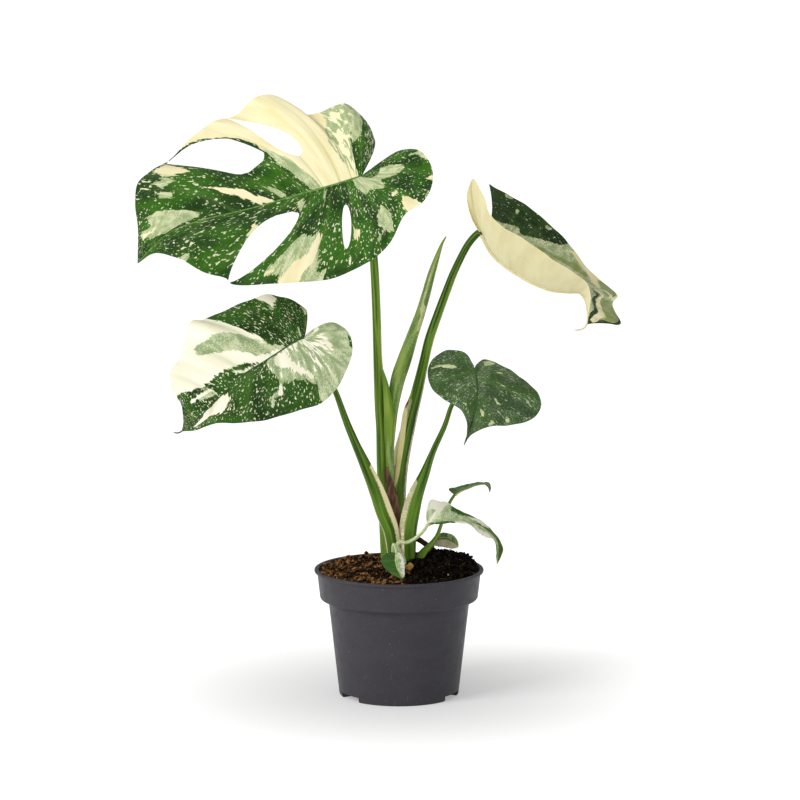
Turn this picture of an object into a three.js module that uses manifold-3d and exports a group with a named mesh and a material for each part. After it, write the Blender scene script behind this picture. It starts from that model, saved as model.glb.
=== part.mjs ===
// Potted variegated monstera: four tall leaves, a furled new leaf and four small basal shoots,
// standing in potting soil in a dark round nursery pot 150 mm across with three feet.
// Millimetres, +Z up, front towards -Y. The origin is the middle of the pot's flat underside.

import * as THREE from "three";
import { mergeVertices } from "three/addons/utils/BufferGeometryUtils.js";
import Module from "manifold-3d";

const wasm = await Module();
wasm.setup();

// Driving dimensions shared by several pieces
const GAP = 0.35; // clearance between pieces that touch
const MERGE = 1e-4; // points closer than this are one point
const FINEST = 0.05; // detail smaller than this is dropped from a finished piece
const BLADE = 0.8; // thickness of a leaf blade
const SHOOT_BLADE = 0.7; // thickness of a small shoot's blade
const WING_EDGE = 0.45; // half thickness of a petiole's sheath wing at its edge
const RIB_SIDES = 6; // sides of the midrib's ridge
const RIB_RISE = 0.3; // how far the ridge stands over the blade's middle, as a share of its thickness
const CUT_PROBE = 0.03; // share of the margin over which a blade's width at a cut is measured
const CUT_REACH = 0.8; // largest shift of a cut's edge, as a share of the cut's span

// Nursery pot, turned about +Z
const POT = {
  height: 113,
  rimRadius: 75, // outer edge of the lip
  lipHeight: 2.4,
  lipRounding: 0.6,
  collarTopRadius: 72.6, // straight collar under the lip
  collarFootRadius: 70,
  collarFootHeight: 88,
  bodyTopRadius: 62.6, // body under the collar's step
  bodyTopHeight: 85,
  stepInset: 1.2, // chamfer at the step's outer edge
  baseRadius: 53.1,
  baseRounding: 1.5,
  wall: 1.5,
  floor: 1.9,
  sides: 48,
};

// Three gaps between the pot's feet, each running inwards as a raised drain channel
const DRAIN = {
  firstAngle: 94, // degrees from +X, seen from above
  count: 3,
  width: 26,
  height: 4.7,
  wall: 1.5,
  innerRadius: 22,
  holeRadius: 4,
  holeAt: 42,
  holeSides: 16,
};

const SOIL = {
  bottom: DRAIN.height + DRAIN.wall + GAP,
  level: 110.6,
  sides: 36,
  rings: 10,
  stemMound: { x: 4, y: -10, height: 8.5, spreadX: 20, spreadY: 20 },
  rearMound: { x: 40, y: 16, height: 12.5, spreadX: 22, spreadY: 24 },
  bump: 0.9,
  edgeDrop: 2, // the surface's edge fits the wall this far below the surface
};

// Leaf blades. A half blade lists stations along its margin from the sinus, round the basal lobe,
// to the tip: [share of the midrib where the station's vein starts, x, y, z]. Veins bow by lift
// along the blade's up direction and by sweep along its length, as shares of the vein's length.
// A cut is a slit or a hole that opened along a vein: at is its place as a share of the margin's
// length, from and to are shares of the vein, width and mouth are in millimetres, and lean is how
// far the opening leans to the sinus side, from 0 to 1.
const UPPER_LEAF = {
  up: [-0.1, -0.66, 0.74],
  rib: [2.4, 0.7],
  midrib: [
    [-33, 12, 460], [-60, 6, 452], [-87, 0, 445], [-111, -5, 438], [-140, -12, 431],
    [-169, -22, 425], [-194, -33, 417], [-208, -40, 407], [-225, -48, 390],
  ],
  near: {
    lift: 0.03, sweep: -0.06, columns: 26, rows: 7,
    stations: [
      [0, -33, 12, 460], [0, -15, 24, 471], [0, 2, 26, 482], [0, 18, 17, 482],
      [0, 28, 4, 470], [0, 29, -12, 455], [0.005, 21, -28, 442], [0.015, 4, -36, 430],
      [0.03, -9, -54, 406], [0.055, -30, -66, 391], [0.1, -62, -74, 379],
      [0.16, -101, -78, 376], [0.2, -140, -76, 375], [0.22, -148, -74, 380],
      [0.36, -167, -72, 385], [0.57, -189, -64, 396], [0.8, -209, -56, 400], [1, -225, -48, 390],
    ],
    cuts: [
      {
        at: 0.543, from: 0.27, to: 0.76, width: 8.5, mouth: 0, blunt: 0.5, taper: 0.5,
        span: 0.05, lean: 0,
      },
      {
        at: 0.783, from: 0.25, to: 1, width: 33, mouth: 1.5, blunt: 0.28, taper: 0.75,
        span: 0.16, lean: 0.15,
      },
    ],
  },
  far: {
    lift: 0.15, sweep: -0.14, columns: 32, rows: 7,
    stations: [
      [0, -33, 12, 460], [0, -31, 20, 467], [0, -25, 33, 478], [0, -21, 42, 489],
      [0, -28, 52, 504], [0, -44, 60, 519], [0.01, -54, 60, 519], [0.02, -68, 60, 513],
      [0.035, -83, 62, 511], [0.05, -97, 68, 519], [0.07, -111, 76, 527], [0.1, -128, 76, 524],
      [0.14, -146, 68, 509], [0.17, -166, 64, 504], [0.22, -184, 54, 490], [0.28, -203, 40, 471],
      [0.36, -217, 20, 465], [0.47, -228, 4, 454], [0.6, -229, -14, 438], [0.74, -226, -30, 422],
      [0.88, -225, -41, 407], [1, -225, -48, 390],
    ],
    cuts: [
      {
        at: 0.515, from: 0.32, to: 1, width: 20, mouth: 1.5, blunt: 0.5, taper: 1.1,
        span: 0.09, lean: 0,
      },
      {
        at: 0.685, from: 0.4, to: 1, width: 46, mouth: 1.5, blunt: 0.3, taper: 0.35,
        span: 0.12, lean: 0.5,
      },
    ],
  },
};

const LEFT_LEAF = {
  up: [-0.25, -0.66, 0.71],
  rib: [2, 0.6],
  tail: [[-190, -83.5, 247.5], [-194, -84.5, 248.5]],
  midrib: [
    [-82, -40, 324], [-91, -42, 320], [-114, -50, 306], [-137, -59, 292], [-159, -69, 271],
    [-175, -76, 257], [-186, -82, 249],
  ],
  near: {
    lift: 0.08, sweep: -0.1, columns: 21, rows: 5,
    stations: [
      [0, -82, -40, 324], [0, -76, -34, 329], [0, -67, -30, 335], [0, -54, -34, 336],
      [0, -43, -46, 328], [0, -40, -58, 316], [0.03, -44, -70, 303], [0.08, -52, -84, 288],
      [0.14, -66, -96, 276], [0.24, -88, -102, 269], [0.36, -116, -104, 262],
      [0.5, -139, -102, 259], [0.65, -159, -96, 258], [0.82, -173, -88, 251], [1, -186, -82, 249],
    ],
    cuts: [],
  },
  far: {
    lift: 0.08, sweep: -0.1, columns: 23, rows: 5,
    stations: [
      [0, -82, -40, 324], [0, -87, -34, 330], [0, -86, -28, 337], [0, -80, -22, 345],
      [0, -90, -14, 352], [0.03, -104, -8, 356], [0.07, -116, -4, 358], [0.13, -134, 0, 351],
      [0.2, -152, 0, 343], [0.28, -171, -3, 336], [0.36, -182, -8, 334], [0.44, -187, -18, 318],
      [0.54, -190, -28, 307], [0.62, -198, -40, 294], [0.74, -196, -54, 281],
      [0.86, -188, -66, 271], [0.94, -185, -76, 258], [1, -186, -82, 249],
    ],
    cuts: [],
  },
};

// The right leaf is still cupped: both halves fold upwards from its midrib
const RIGHT_LEAF = {
  up: [0.35, -0.1, 0.93],
  rib: [2, 0.6],
  tail: [[159, -28, 330], [151, -29, 329]],
  midrib: [
    [73, 8, 410], [85, 4, 390], [108, -2, 373], [130, -8, 363], [147, -14, 361], [157, -18, 361],
    [162, -22, 355], [164, -24, 345], [163, -26, 334],
  ],
  near: {
    lift: -0.1, sweep: -0.05, columns: 18, rows: 4,
    stations: [
      [0, 73, 8, 410], [0, 65, -2, 421], [0, 59, -16, 442], [0, 61, -26, 456], [0, 65, -32, 461],
      [0.02, 72, -46, 448], [0.06, 78, -58, 433], [0.14, 89, -66, 423], [0.26, 112, -72, 409],
      [0.4, 140, -72, 390], [0.55, 159, -62, 376], [0.7, 165, -50, 364], [0.84, 164, -38, 347],
      [1, 163, -26, 334],
    ],
    cuts: [],
  },
  far: {
    lift: -0.06, sweep: -0.05, columns: 20, rows: 4,
    lobe: { lift: -0.05, sweep: 0.27, end: 0.3 },
    stations: [
      [0, 80, 46, 450], [0.03, 98, 58, 439], [0.1, 121, 66, 424], [0.18, 140, 66, 407],
      [0.28, 155, 62, 391], [0.38, 171, 52, 371], [0.5, 187, 42, 358], [0.6, 194, 34, 352],
      [0.68, 188, 22, 345], [0.78, 195, 12, 330], [0.86, 183, -2, 332], [0.94, 170, -18, 334],
      [1, 163, -26, 334],
    ],
    cuts: [],
  },
};

const HEART_LEAF = {
  up: [0.05, -0.8, 0.6],
  rib: [1.5, 0.5],
  midrib: [
    [66, -10, 292], [68, -20, 283], [68, -31, 273], [66, -44, 262], [61, -58, 248], [56, -70, 235],
  ],
  near: {
    lift: 0.05, sweep: -0.1, columns: 16, rows: 3,
    stations: [
      [0, 66, -10, 292], [0, 64, -6, 298], [0, 57, 2, 306], [0, 42, 4, 307], [0, 29, -4, 300],
      [0, 25, -16, 289], [0.06, 29, -28, 278], [0.15, 39, -38, 270], [0.3, 52, -48, 264],
      [0.5, 58, -58, 255], [0.75, 59, -66, 245], [1, 56, -70, 235],
    ],
    cuts: [],
  },
  far: {
    lift: 0.08, sweep: -0.1, columns: 18, rows: 3,
    stations: [
      [0, 66, -10, 292], [0, 69, -6, 297], [0, 76, 0, 300], [0, 89, 0, 295], [0.02, 103, -4, 287],
      [0.06, 117, -12, 277], [0.12, 124, -24, 266], [0.2, 121, -34, 257], [0.32, 111, -42, 251],
      [0.45, 94, -49, 249], [0.58, 79, -56, 249], [0.72, 66, -62, 245], [0.85, 60, -67, 241],
      [1, 56, -70, 235],
    ],
    cuts: [],
  },
};

// Small basal shoots
const ARCHING_SHOOT = {
  up: [-0.05, -0.45, 0.89],
  rib: [1.5, 0.5],
  thickness: SHOOT_BLADE,
  midrib: [
    [25.4, -28, 158.1], [37, -28.5, 162], [50.8, -30, 162.5], [64, -33, 160], [76.1, -36, 153.8],
    [85.7, -38, 143.1], [85.7, -40, 124.4],
  ],
  near: {
    lift: 0.03, sweep: -0.05, columns: 11, rows: 2,
    stations: [
      [0, 25.4, -28, 158.1], [0.1, 35.9, -35, 159.6], [0.27, 50.6, -39, 161.2],
      [0.4, 62, -42, 159.4], [0.5, 69, -45, 153.8], [0.58, 75.9, -46, 149.3],
      [0.65, 82, -44, 148], [0.78, 84.6, -42, 142], [0.88, 85.2, -41, 135.6],
      [1, 85.7, -40, 124.4],
    ],
    cuts: [],
  },
  far: {
    lift: 0.03, sweep: -0.1, columns: 11, rows: 2,
    stations: [
      [0, 25.4, -28, 158.1], [0, 23.4, -26, 164], [0, 24.6, -22, 172.1], [0.02, 28, -18, 178.1],
      [0.07, 36, -16, 176], [0.15, 42, -15, 175.3], [0.28, 52, -16, 168.3], [0.43, 66.7, -22, 163],
      [0.58, 77, -27, 156.6], [0.72, 86, -31, 147.5], [0.85, 90.8, -35, 138],
      [0.93, 89.8, -37, 132], [1, 85.7, -40, 124.4],
    ],
    cuts: [],
  },
};

const NARROW_SHOOT = {
  up: [-0.1, -0.15, 0.98],
  rib: [1.2, 0.5],
  thickness: SHOOT_BLADE,
  midrib: [
    [49.6, 6, 178.3], [54, 6, 181.5], [61.1, 6, 184.3], [68.1, 5, 187], [74.3, 4, 188.1],
    [78.7, 2, 187.5], [80.4, 0, 181.2],
  ],
  near: {
    lift: 0.04, sweep: -0.05, columns: 9, rows: 2,
    stations: [
      [0, 49.6, 6, 178.3], [0, 45.5, 1, 182], [0, 44.5, -3, 185.4], [0.1, 52, -8, 187.1],
      [0.3, 60, -9, 188.2], [0.5, 67, -8, 189.7], [0.68, 72.5, -6, 190], [0.84, 78, -3, 187.5],
      [1, 80.4, 0, 181.2],
    ],
    cuts: [],
  },
  far: {
    lift: 0.04, sweep: -0.05, columns: 9, rows: 2,
    stations: [
      [0, 49.6, 6, 178.3], [0, 49.5, 12, 182.5], [0.08, 54.2, 16, 184.2], [0.25, 61.3, 18, 185.4],
      [0.45, 68.4, 17, 187.2], [0.62, 74, 13, 188], [0.78, 79, 8, 188.6], [0.9, 81.1, 4, 186.3],
      [1, 80.4, 0, 181.2],
    ],
    cuts: [],
  },
};

const DROOPING_SHOOT = {
  up: [-0.1, -0.9, 0.42],
  rib: [1.1, 0.5],
  thickness: SHOOT_BLADE,
  midrib: [
    [-2.6, -43, 134], [-3, -46, 129], [-1.7, -48, 123.3], [0.9, -50, 117.5], [3.5, -53.5, 113.4],
  ],
  near: {
    lift: 0.1, sweep: -0.05, columns: 9, rows: 2,
    stations: [
      [0, -2.6, -43, 134], [0, -5.5, -41.5, 135.4], [0.02, -10.5, -42, 134.5],
      [0.1, -14.4, -44, 132], [0.22, -15.6, -46.5, 128.6], [0.42, -13.2, -50, 124],
      [0.68, -8.1, -53, 119.6], [0.88, -1.7, -54, 116], [1, 3.5, -53.5, 113.4],
    ],
    cuts: [],
  },
  far: {
    lift: 0.1, sweep: -0.05, columns: 8, rows: 2,
    stations: [
      [0, -2.6, -43, 134], [0, -1, -41.5, 135.4], [0.06, 2.4, -42.5, 133], [0.25, 4.6, -44, 127.3],
      [0.5, 5, -46.5, 121], [0.78, 4.6, -49.5, 115.8], [1, 3.5, -53.5, 113.4],
    ],
    cuts: [],
  },
};

const REAR_SHOOT = {
  up: [0.1, -0.55, 0.83],
  rib: [1.1, 0.5],
  thickness: SHOOT_BLADE,
  midrib: [[31.2, 18, 130.6], [35.6, 18, 134.6], [42.2, 17, 135], [48.2, 15, 132.8], [52.8, 13, 129.6]],
  near: {
    lift: 0.06, sweep: -0.05, columns: 8, rows: 2,
    stations: [
      [0, 31.2, 18, 130.6], [0.04, 34.7, 13, 130.2], [0.3, 39.9, 9, 130.4], [0.6, 46.2, 8, 129.4],
      [0.85, 50.6, 10, 129.3], [1, 52.8, 13, 129.6],
    ],
    cuts: [],
  },
  far: {
    lift: 0.06, sweep: -0.05, columns: 8, rows: 2,
    stations: [
      [0, 31.2, 18, 130.6], [0, 30.2, 21, 133.6], [0.06, 32.5, 24, 137], [0.25, 37, 26, 139.6],
      [0.5, 43.4, 26.5, 139.6], [0.75, 49.4, 23, 137.4], [0.92, 52.6, 17.5, 133],
      [1, 52.8, 13, 129.6],
    ],
    cuts: [],
  },
};

// Stalks. Each row is [x, y, z, width, depth, left wing, right wing] from the soil upwards.
// The wings are the edges of the leaf sheath; curl bends them back from the viewer's plane.
const PETIOLES = {
  left: {
    steps: 17, curl: 0.35,
    rows: [
      [-4.5, -11, 98, 9, 9, 0, 0], [-5, -12, 122, 9.5, 9.5, 0, 1], [-8.2, -13, 147, 10, 9.5, 0, 3.5],
      [-15, -14, 165, 10.5, 9, 0, 4.5], [-22, -16, 186, 9.5, 8.5, 0, 4],
      [-30, -18, 208, 8.5, 7.5, 0, 1.6], [-38, -20, 228, 7.4, 6.6, 0, 0],
      [-46, -22, 248, 6.2, 6, 0, 0], [-56, -24, 276, 5, 5, 0, 0], [-67, -26, 298, 4.8, 4.8, 0, 0],
      [-76, -32, 313, 4.8, 4.8, 0, 0], [-82, -39, 323, 4.6, 4.6, 0, 0],
    ],
  },
  heart: {
    steps: 17, curl: 0.35,
    rows: [
      [7, -8, 98, 9, 9, 0, 0], [9, -9, 122, 11, 9.5, 1, 0], [9.8, -11, 147, 11.5, 9.5, 4, 0],
      [12.8, -12, 165, 11, 9, 4.6, 0], [16.8, -13, 181, 9.2, 8, 4.2, 0],
      [23, -13, 199, 7.2, 6.8, 2, 0], [29.6, -12, 219, 5.6, 5.6, 0, 0],
      [40, -10, 242, 4.6, 4.6, 0, 0], [46, -6, 259, 4.1, 4.1, 0, 0], [55, 0, 274, 4, 4, 0, 0],
      [62, -1, 285, 4, 4, 0, 0], [66, -9, 291, 3.8, 3.8, 0, 0],
    ],
  },
  upper: {
    steps: 24, curl: -0.5,
    rows: [
      [-10, 8, 98, 9, 9, 0, 0], [-11, 8, 123, 10.5, 9.5, 0, 0], [-12, 8, 141, 10.5, 9.5, 0, 1.5],
      [-13.5, 9, 173, 10, 9, 0, 2], [-15, 10, 203, 9.6, 8.6, 0, 2.4],
      [-16, 12, 235, 8.6, 8, 0, 2.4], [-17.5, 13, 256, 8, 7.6, 0, 2],
      [-18.5, 16, 285, 7.9, 7.4, 0, 1], [-19, 18, 305, 7.8, 7.4, 0, 0],
      [-20, 21, 341, 7.6, 7.2, 0, 0], [-22, 25, 382, 7.4, 7, 0, 0], [-26, 26, 418, 7, 6.8, 0, 0],
      [-31, 20, 444, 6.6, 6.6, 0, 0], [-33, 13, 459, 6, 6, 0, 0],
    ],
  },
  right: {
    steps: 24, curl: -0.3,
    rows: [
      [-1, 15, 98, 9, 9, 0, 0], [-1, 15, 121, 11, 10, 0, 0], [-1, 14, 150, 11, 10, 1, 1],
      [-0.5, 13, 175, 10.5, 9.6, 3, 1.5], [1.5, 12, 202, 10.4, 9, 4, 1.5],
      [8, 12, 235, 9.4, 8.4, 2.4, 1.2], [16, 12, 270, 9, 8.2, 0.6, 0.8],
      [22, 12, 296, 8.6, 8, 0, 0], [27, 12, 317, 8.4, 7.8, 0, 0], [34.6, 12, 339, 7.9, 7.3, 0, 0],
      [41.6, 12, 358, 7.4, 7, 0, 0], [49, 12, 377, 6.8, 6.5, 0, 0], [60, 11, 399, 6.4, 6.2, 0, 0],
      [69, 9, 410, 6.2, 6, 0, 0], [73, 8, 411, 5.8, 5.8, 0, 0],
    ],
  },
};

const SHOOT_PETIOLES = {
  arching: {
    steps: 11, curl: 0,
    rows: [
      [5, -21, 100, 5, 4, 0, 0], [3.5, -22, 122, 6.5, 3.6, 0, 0], [0, -23.5, 132, 5, 3.4, 0, 0],
      [-1.5, -24, 138.6, 3.8, 3.6, 0, 0], [1.8, -26, 141.4, 3.4, 3.6, 0, 0],
      [6.8, -27, 141.4, 3.4, 3.4, 0, 0], [14.9, -28, 145.8, 3.3, 3.3, 0, 0],
      [21.9, -28, 152.5, 3, 3, 0, 0], [25, -28, 157.3, 2.8, 2.8, 0, 0],
    ],
  },
  narrow: {
    steps: 12, curl: 0,
    rows: [
      [12, 6, 100, 5, 5, 0, 0], [17, -6, 119, 7, 5.5, 0, 0], [21.2, -5, 127.8, 7, 5, 0, 0],
      [27.4, -3, 134, 5.2, 4, 0, 0], [33.6, 0, 142.1, 3.6, 3.2, 0, 0],
      [37.6, 3, 152.3, 3.1, 3, 0, 0], [41.6, 5, 162.8, 2.9, 2.9, 0, 0],
      [45.2, 6, 171.6, 2.8, 2.8, 0, 0], [49, 6, 177.6, 2.6, 2.6, 0, 0],
    ],
  },
  drooping: {
    steps: 10, curl: 0,
    rows: [
      [-4.5, -28, 100, 3, 3, 0, 0], [-5.4, -30, 122, 3, 3, 0, 0], [-5.4, -32, 135, 2.6, 2.6, 0, 0],
      [-5, -34, 140.5, 2.4, 2.4, 0, 0], [-4.2, -38, 141.8, 2.2, 2.2, 0, 0],
      [-3.2, -41.5, 139, 2.1, 2.1, 0, 0], [-2.6, -42.8, 134.8, 2, 2, 0, 0],
    ],
  },
  rear: {
    steps: 6, curl: 0,
    rows: [
      [20, 16, 102, 3, 3, 0, 0], [24, 16, 120, 3, 3, 0, 0], [28, 17, 126.8, 2.6, 2.6, 0, 0],
      [31, 18, 130.2, 2.2, 2.2, 0, 0],
    ],
  },
};

// The furled new leaf stands on the stem's growing point, between the two rear petioles
const FURLED_LEAF = {
  steps: 24, curl: 0,
  rows: [
    [-4, 2, 141, 5, 5, 0, 0], [-6, 2.5, 155, 5.4, 5, 0, 0], [-7, 3, 182, 6, 5.4, 0, 0],
    [-8, 4, 213, 6.6, 6, 0, 0], [-7, 5, 235, 7.6, 6.6, 0, 0], [-5, 7, 258, 9.6, 7.6, 0, 0],
    [-1, 10, 280, 12, 8.6, 0, 0], [5, 12, 298, 12, 8.6, 0, 0], [12, 14, 319, 9.8, 8, 0, 0],
    [19, 15, 339, 8.2, 7.2, 0, 0], [24, 16, 356, 7.5, 6.6, 0, 0], [29.5, 17, 376, 6.2, 5.6, 0, 0],
    [37, 18, 398, 2.6, 2.6, 0, 0], [41.5, 18, 406.5, 0.9, 0.9, 0, 0],
  ],
};

const STEM = {
  steps: 6, curl: 0,
  rows: [
    [-3, 2, 84, 11, 11, 0, 0], [-3, 2, 110, 12.5, 12.5, 0, 0], [-3, 2, 130, 11.5, 11.5, 0, 0],
    [-3.5, 2, 138, 8, 8, 0, 0], [-4, 2, 141, 4, 4, 0, 0],
  ],
};

// Papery dead sheath left in front of the furled leaf's base
const DRY_SHEATH = {
  steps: 8, curl: 0.9,
  rows: [
    [-1.5, -4.5, 120, 6, 1.6, 1, 1], [-1.8, -4.5, 148, 6.5, 1.6, 1, 1],
    [-3.4, -4, 164, 7, 1.5, 1, 1], [-6.6, -3, 182, 6.4, 1.4, 1, 1],
    [-10, -2.5, 196, 4.4, 1.2, 0.5, 0.5], [-12, -2, 205, 1.4, 1, 0, 0],
  ],
};

const AERIAL_ROOT = {
  steps: 8, curl: 0,
  rows: [
    [-1, 22, 122, 4.6, 4.6, 0, 0], [7, 21, 132, 4.8, 4.8, 0, 0], [15.6, 20, 135.6, 4.8, 4.8, 0, 0],
    [25, 21, 130, 4.6, 4.6, 0, 0], [32, 23, 124, 4.4, 4.4, 0, 0], [38, 26, 114, 4, 4, 0, 0],
  ],
};

// A scrap of dry husk lying on the soil in front of the stems
const HUSK = {
  steps: 5, curl: 0.8,
  rows: [
    [3.6, -27, 118.8, 3.4, 1.4, 1, 1], [5.6, -28.4, 120.6, 6, 1.5, 1, 1],
    [8.6, -29.6, 120.2, 6.4, 1.5, 1, 1], [11.4, -30.6, 118.6, 4, 1.3, 1, 1],
  ],
};

// Colours as seen in daylight
const FINISH = {
  pot: { color: 0x4a484d, roughness: 0.55 },
  soil: { color: 0x2b1d15, roughness: 1 },
  blade: { color: 0x8fa57a, roughness: 0.42 },
  paleBlade: { color: 0xe3dfc0, roughness: 0.45 },
  darkBlade: { color: 0x6f8463, roughness: 0.42 },
  petiole: { color: 0x5f8a33, roughness: 0.45 },
  furled: { color: 0x93b05c, roughness: 0.42 },
  stem: { color: 0x4c4a25, roughness: 0.8 },
  dry: { color: 0x5b3a20, roughness: 0.9 },
  root: { color: 0x4a2f22, roughness: 0.9 },
  husk: { color: 0xa8853f, roughness: 0.9 },
};

const vector = ([x, y, z]) => new THREE.Vector3(x, y, z);

const smoothCurve = (points) => new THREE.CatmullRomCurve3(points, false, "catmullrom", 0.5);

// Solids

/** A manifold solid from points and triangles, with its faces turned outwards. */
function solidFrom(points, triangles) {
  let volume = 0;
  for (const [a, b, c] of triangles) {
    volume += points[a].dot(new THREE.Vector3().crossVectors(points[b], points[c]));
  }
  const outward = volume < 0 ? triangles.map(([a, b, c]) => [a, c, b]) : triangles;
  return new wasm.Manifold(
    new wasm.Mesh({
      numProp: 3,
      vertProperties: Float32Array.from(points.flatMap((point) => point.toArray())),
      triVerts: Uint32Array.from(outward.flat()),
    }),
  );
}

/** A manifold solid from a closed three.js geometry. */
function solidOf(geometry) {
  const bare = geometry.clone();
  bare.deleteAttribute("normal");
  bare.deleteAttribute("uv");
  const merged = mergeVertices(bare, MERGE);
  const places = merged.getAttribute("position");
  const points = [];
  for (let i = 0; i < places.count; i += 1) {
    points.push(new THREE.Vector3().fromBufferAttribute(places, i));
  }
  const triangles = [];
  for (let i = 0; i < merged.index.count; i += 3) {
    const [a, b, c] = merged.index.array.slice(i, i + 3);
    if (a !== b && b !== c && c !== a) triangles.push([a, b, c]);
  }
  return solidFrom(points, triangles);
}

/** The three.js geometry of a manifold solid. */
function geometryOf(solid) {
  const { vertProperties, triVerts } = mainBody(solid.simplify(FINEST)).getMesh();
  const geometry = new THREE.BufferGeometry();
  geometry.setAttribute("position", new THREE.BufferAttribute(vertProperties, 3));
  geometry.setIndex(new THREE.BufferAttribute(triVerts, 1));
  geometry.computeVertexNormals();
  return geometry;
}

/** The largest body of a solid, without loose scraps and with sealed hollows filled. */
function mainBody(solid) {
  return solid.decompose().reduce((a, b) => (b.volume() > a.volume() ? b : a));
}

/** What is left of a solid once its neighbours are cut out of it. */
function clearOf(solid, neighbours) {
  return mainBody(neighbours.reduce((rest, neighbour) => rest.subtract(neighbour), solid));
}

/** A closed solid through rings that all have the same number of points. */
function loft(rings) {
  const sides = rings[0].length;
  const points = rings.flat();
  const triangles = [];
  for (let i = 0; i + 1 < rings.length; i += 1) {
    for (let j = 0; j < sides; j += 1) {
      const next = (j + 1) % sides;
      const [a, b] = [i * sides + j, i * sides + next];
      const [c, d] = [a + sides, b + sides];
      triangles.push([a, b, d], [a, d, c]);
    }
  }
  for (const [ring, turn] of [[0, true], [rings.length - 1, false]]) {
    const centre = points.length;
    const middle = rings[ring].reduce((sum, point) => sum.add(point), new THREE.Vector3());
    points.push(middle.divideScalar(sides));
    for (let j = 0; j < sides; j += 1) {
      const edge = [ring * sides + j, ring * sides + ((j + 1) % sides)];
      triangles.push(turn ? [centre, edge[1], edge[0]] : [centre, edge[0], edge[1]]);
    }
  }
  return solidFrom(points, triangles);
}

// Stalks

/** Section of a stalk in its own plane: an oval with a thin sheath wing at each side. */
function stalkSection(width, depth, left, right, curl, grow) {
  const halfWidth = width / 2 + grow;
  const halfDepth = depth / 2 + grow;
  const edge = Math.min(WING_EDGE + grow, halfDepth * 0.5);
  const oval = [45, 90, 135].map((degrees) => {
    const angle = THREE.MathUtils.degToRad(degrees);
    return [halfWidth * Math.cos(angle), halfDepth * Math.sin(angle)];
  });
  const rightTip = halfWidth + right;
  const leftTip = -halfWidth - left;
  return [
    [rightTip, right * curl + edge],
    ...oval,
    [leftTip, left * curl + edge],
    [leftTip, left * curl - edge],
    ...oval.map(([across, back]) => [across, -back]).reverse(),
    [rightTip, right * curl - edge],
  ];
}

/** A stalk lofted along its rows; grow thickens it on all sides. */
function stalk({ rows, steps, curl }, grow = 0) {
  const path = smoothCurve(rows.map(vector));
  const girth = smoothCurve(rows.map(([, , , width, depth]) => new THREE.Vector3(width, depth, 0)));
  const wings = smoothCurve(rows.map((row) => new THREE.Vector3(row[5], row[6], 0)));
  const rings = [];
  for (let i = 0; i <= steps; i += 1) {
    const share = path.getUtoTmapping(i / steps);
    const tangent = path.getTangent(share);
    const centre = path.getPoint(share);
    if (i === 0) centre.addScaledVector(tangent, -grow);
    if (i === steps) centre.addScaledVector(tangent, grow);
    const across = new THREE.Vector3(1, 0, 0).addScaledVector(tangent, -tangent.x).normalize();
    const back = new THREE.Vector3().crossVectors(tangent, across);
    const size = girth.getPoint(share);
    const wing = wings.getPoint(share);
    const section = stalkSection(
      size.x, size.y, Math.max(0, wing.x), Math.max(0, wing.y), curl, grow,
    );
    rings.push(section.map(([u, v]) => (
      centre.clone().addScaledVector(across, u).addScaledVector(back, v)
    )));
  }
  return loft(rings);
}

// Blades

/** Opening of a cut at a share of its length: blunt at the inner end, tapered at the outer one. */
function cutOpening(cut, share) {
  if (share <= 0 || share > 1 || (share === 1 && cut.to < 1)) return 0;
  const { blunt, taper } = cut;
  const peak = (blunt / (blunt + taper)) ** blunt * (taper / (blunt + taper)) ** taper;
  return (cut.width * share ** blunt * (1 - share) ** taper) / peak + cut.mouth * share;
}

/** A function that gives the point of a half blade at a share of its margin and of its veins. */
function bladeSurface(leaf, half) {
  const up = vector(leaf.up).normalize();
  const midrib = smoothCurve(leaf.midrib.map(vector));
  const along = midrib.getPoint(1).sub(midrib.getPoint(0)).normalize();
  const margin = smoothCurve(half.stations.map(([, ...place]) => vector(place)));
  margin.arcLengthDivisions = 600;
  const feet = smoothCurve(half.stations.map(([foot]) => new THREE.Vector3(foot, 0, 0)));
  const lobe = half.lobe ?? { lift: half.lift, sweep: half.sweep, end: 1 };
  return (at, share) => {
    const station = margin.getUtoTmapping(THREE.MathUtils.clamp(at, 0, 1));
    const edge = margin.getPoint(station);
    const foot = THREE.MathUtils.clamp(feet.getPoint(station).x, 0, 1);
    const root = midrib.getPoint(foot);
    const length = root.distanceTo(edge);
    const blend = THREE.MathUtils.smoothstep(at, 0, lobe.end);
    const bow = root.clone().lerp(edge, 0.5);
    bow.addScaledVector(up, THREE.MathUtils.lerp(lobe.lift, half.lift, blend) * length);
    bow.addScaledVector(along, THREE.MathUtils.lerp(lobe.sweep, half.sweep, blend) * length);
    return new THREE.QuadraticBezierCurve3(root, bow, edge).getPoint(share);
  };
}

/** Even steps from 0 to 1, with the nearest inner steps moved to the given values. */
function stepsThrough(count, values) {
  const steps = Array.from({ length: count + 1 }, (_, i) => i / count);
  for (const value of values) {
    const nearest = THREE.MathUtils.clamp(Math.round(value * count), 1, count - 1);
    steps[nearest] = value;
  }
  return steps;
}

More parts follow.
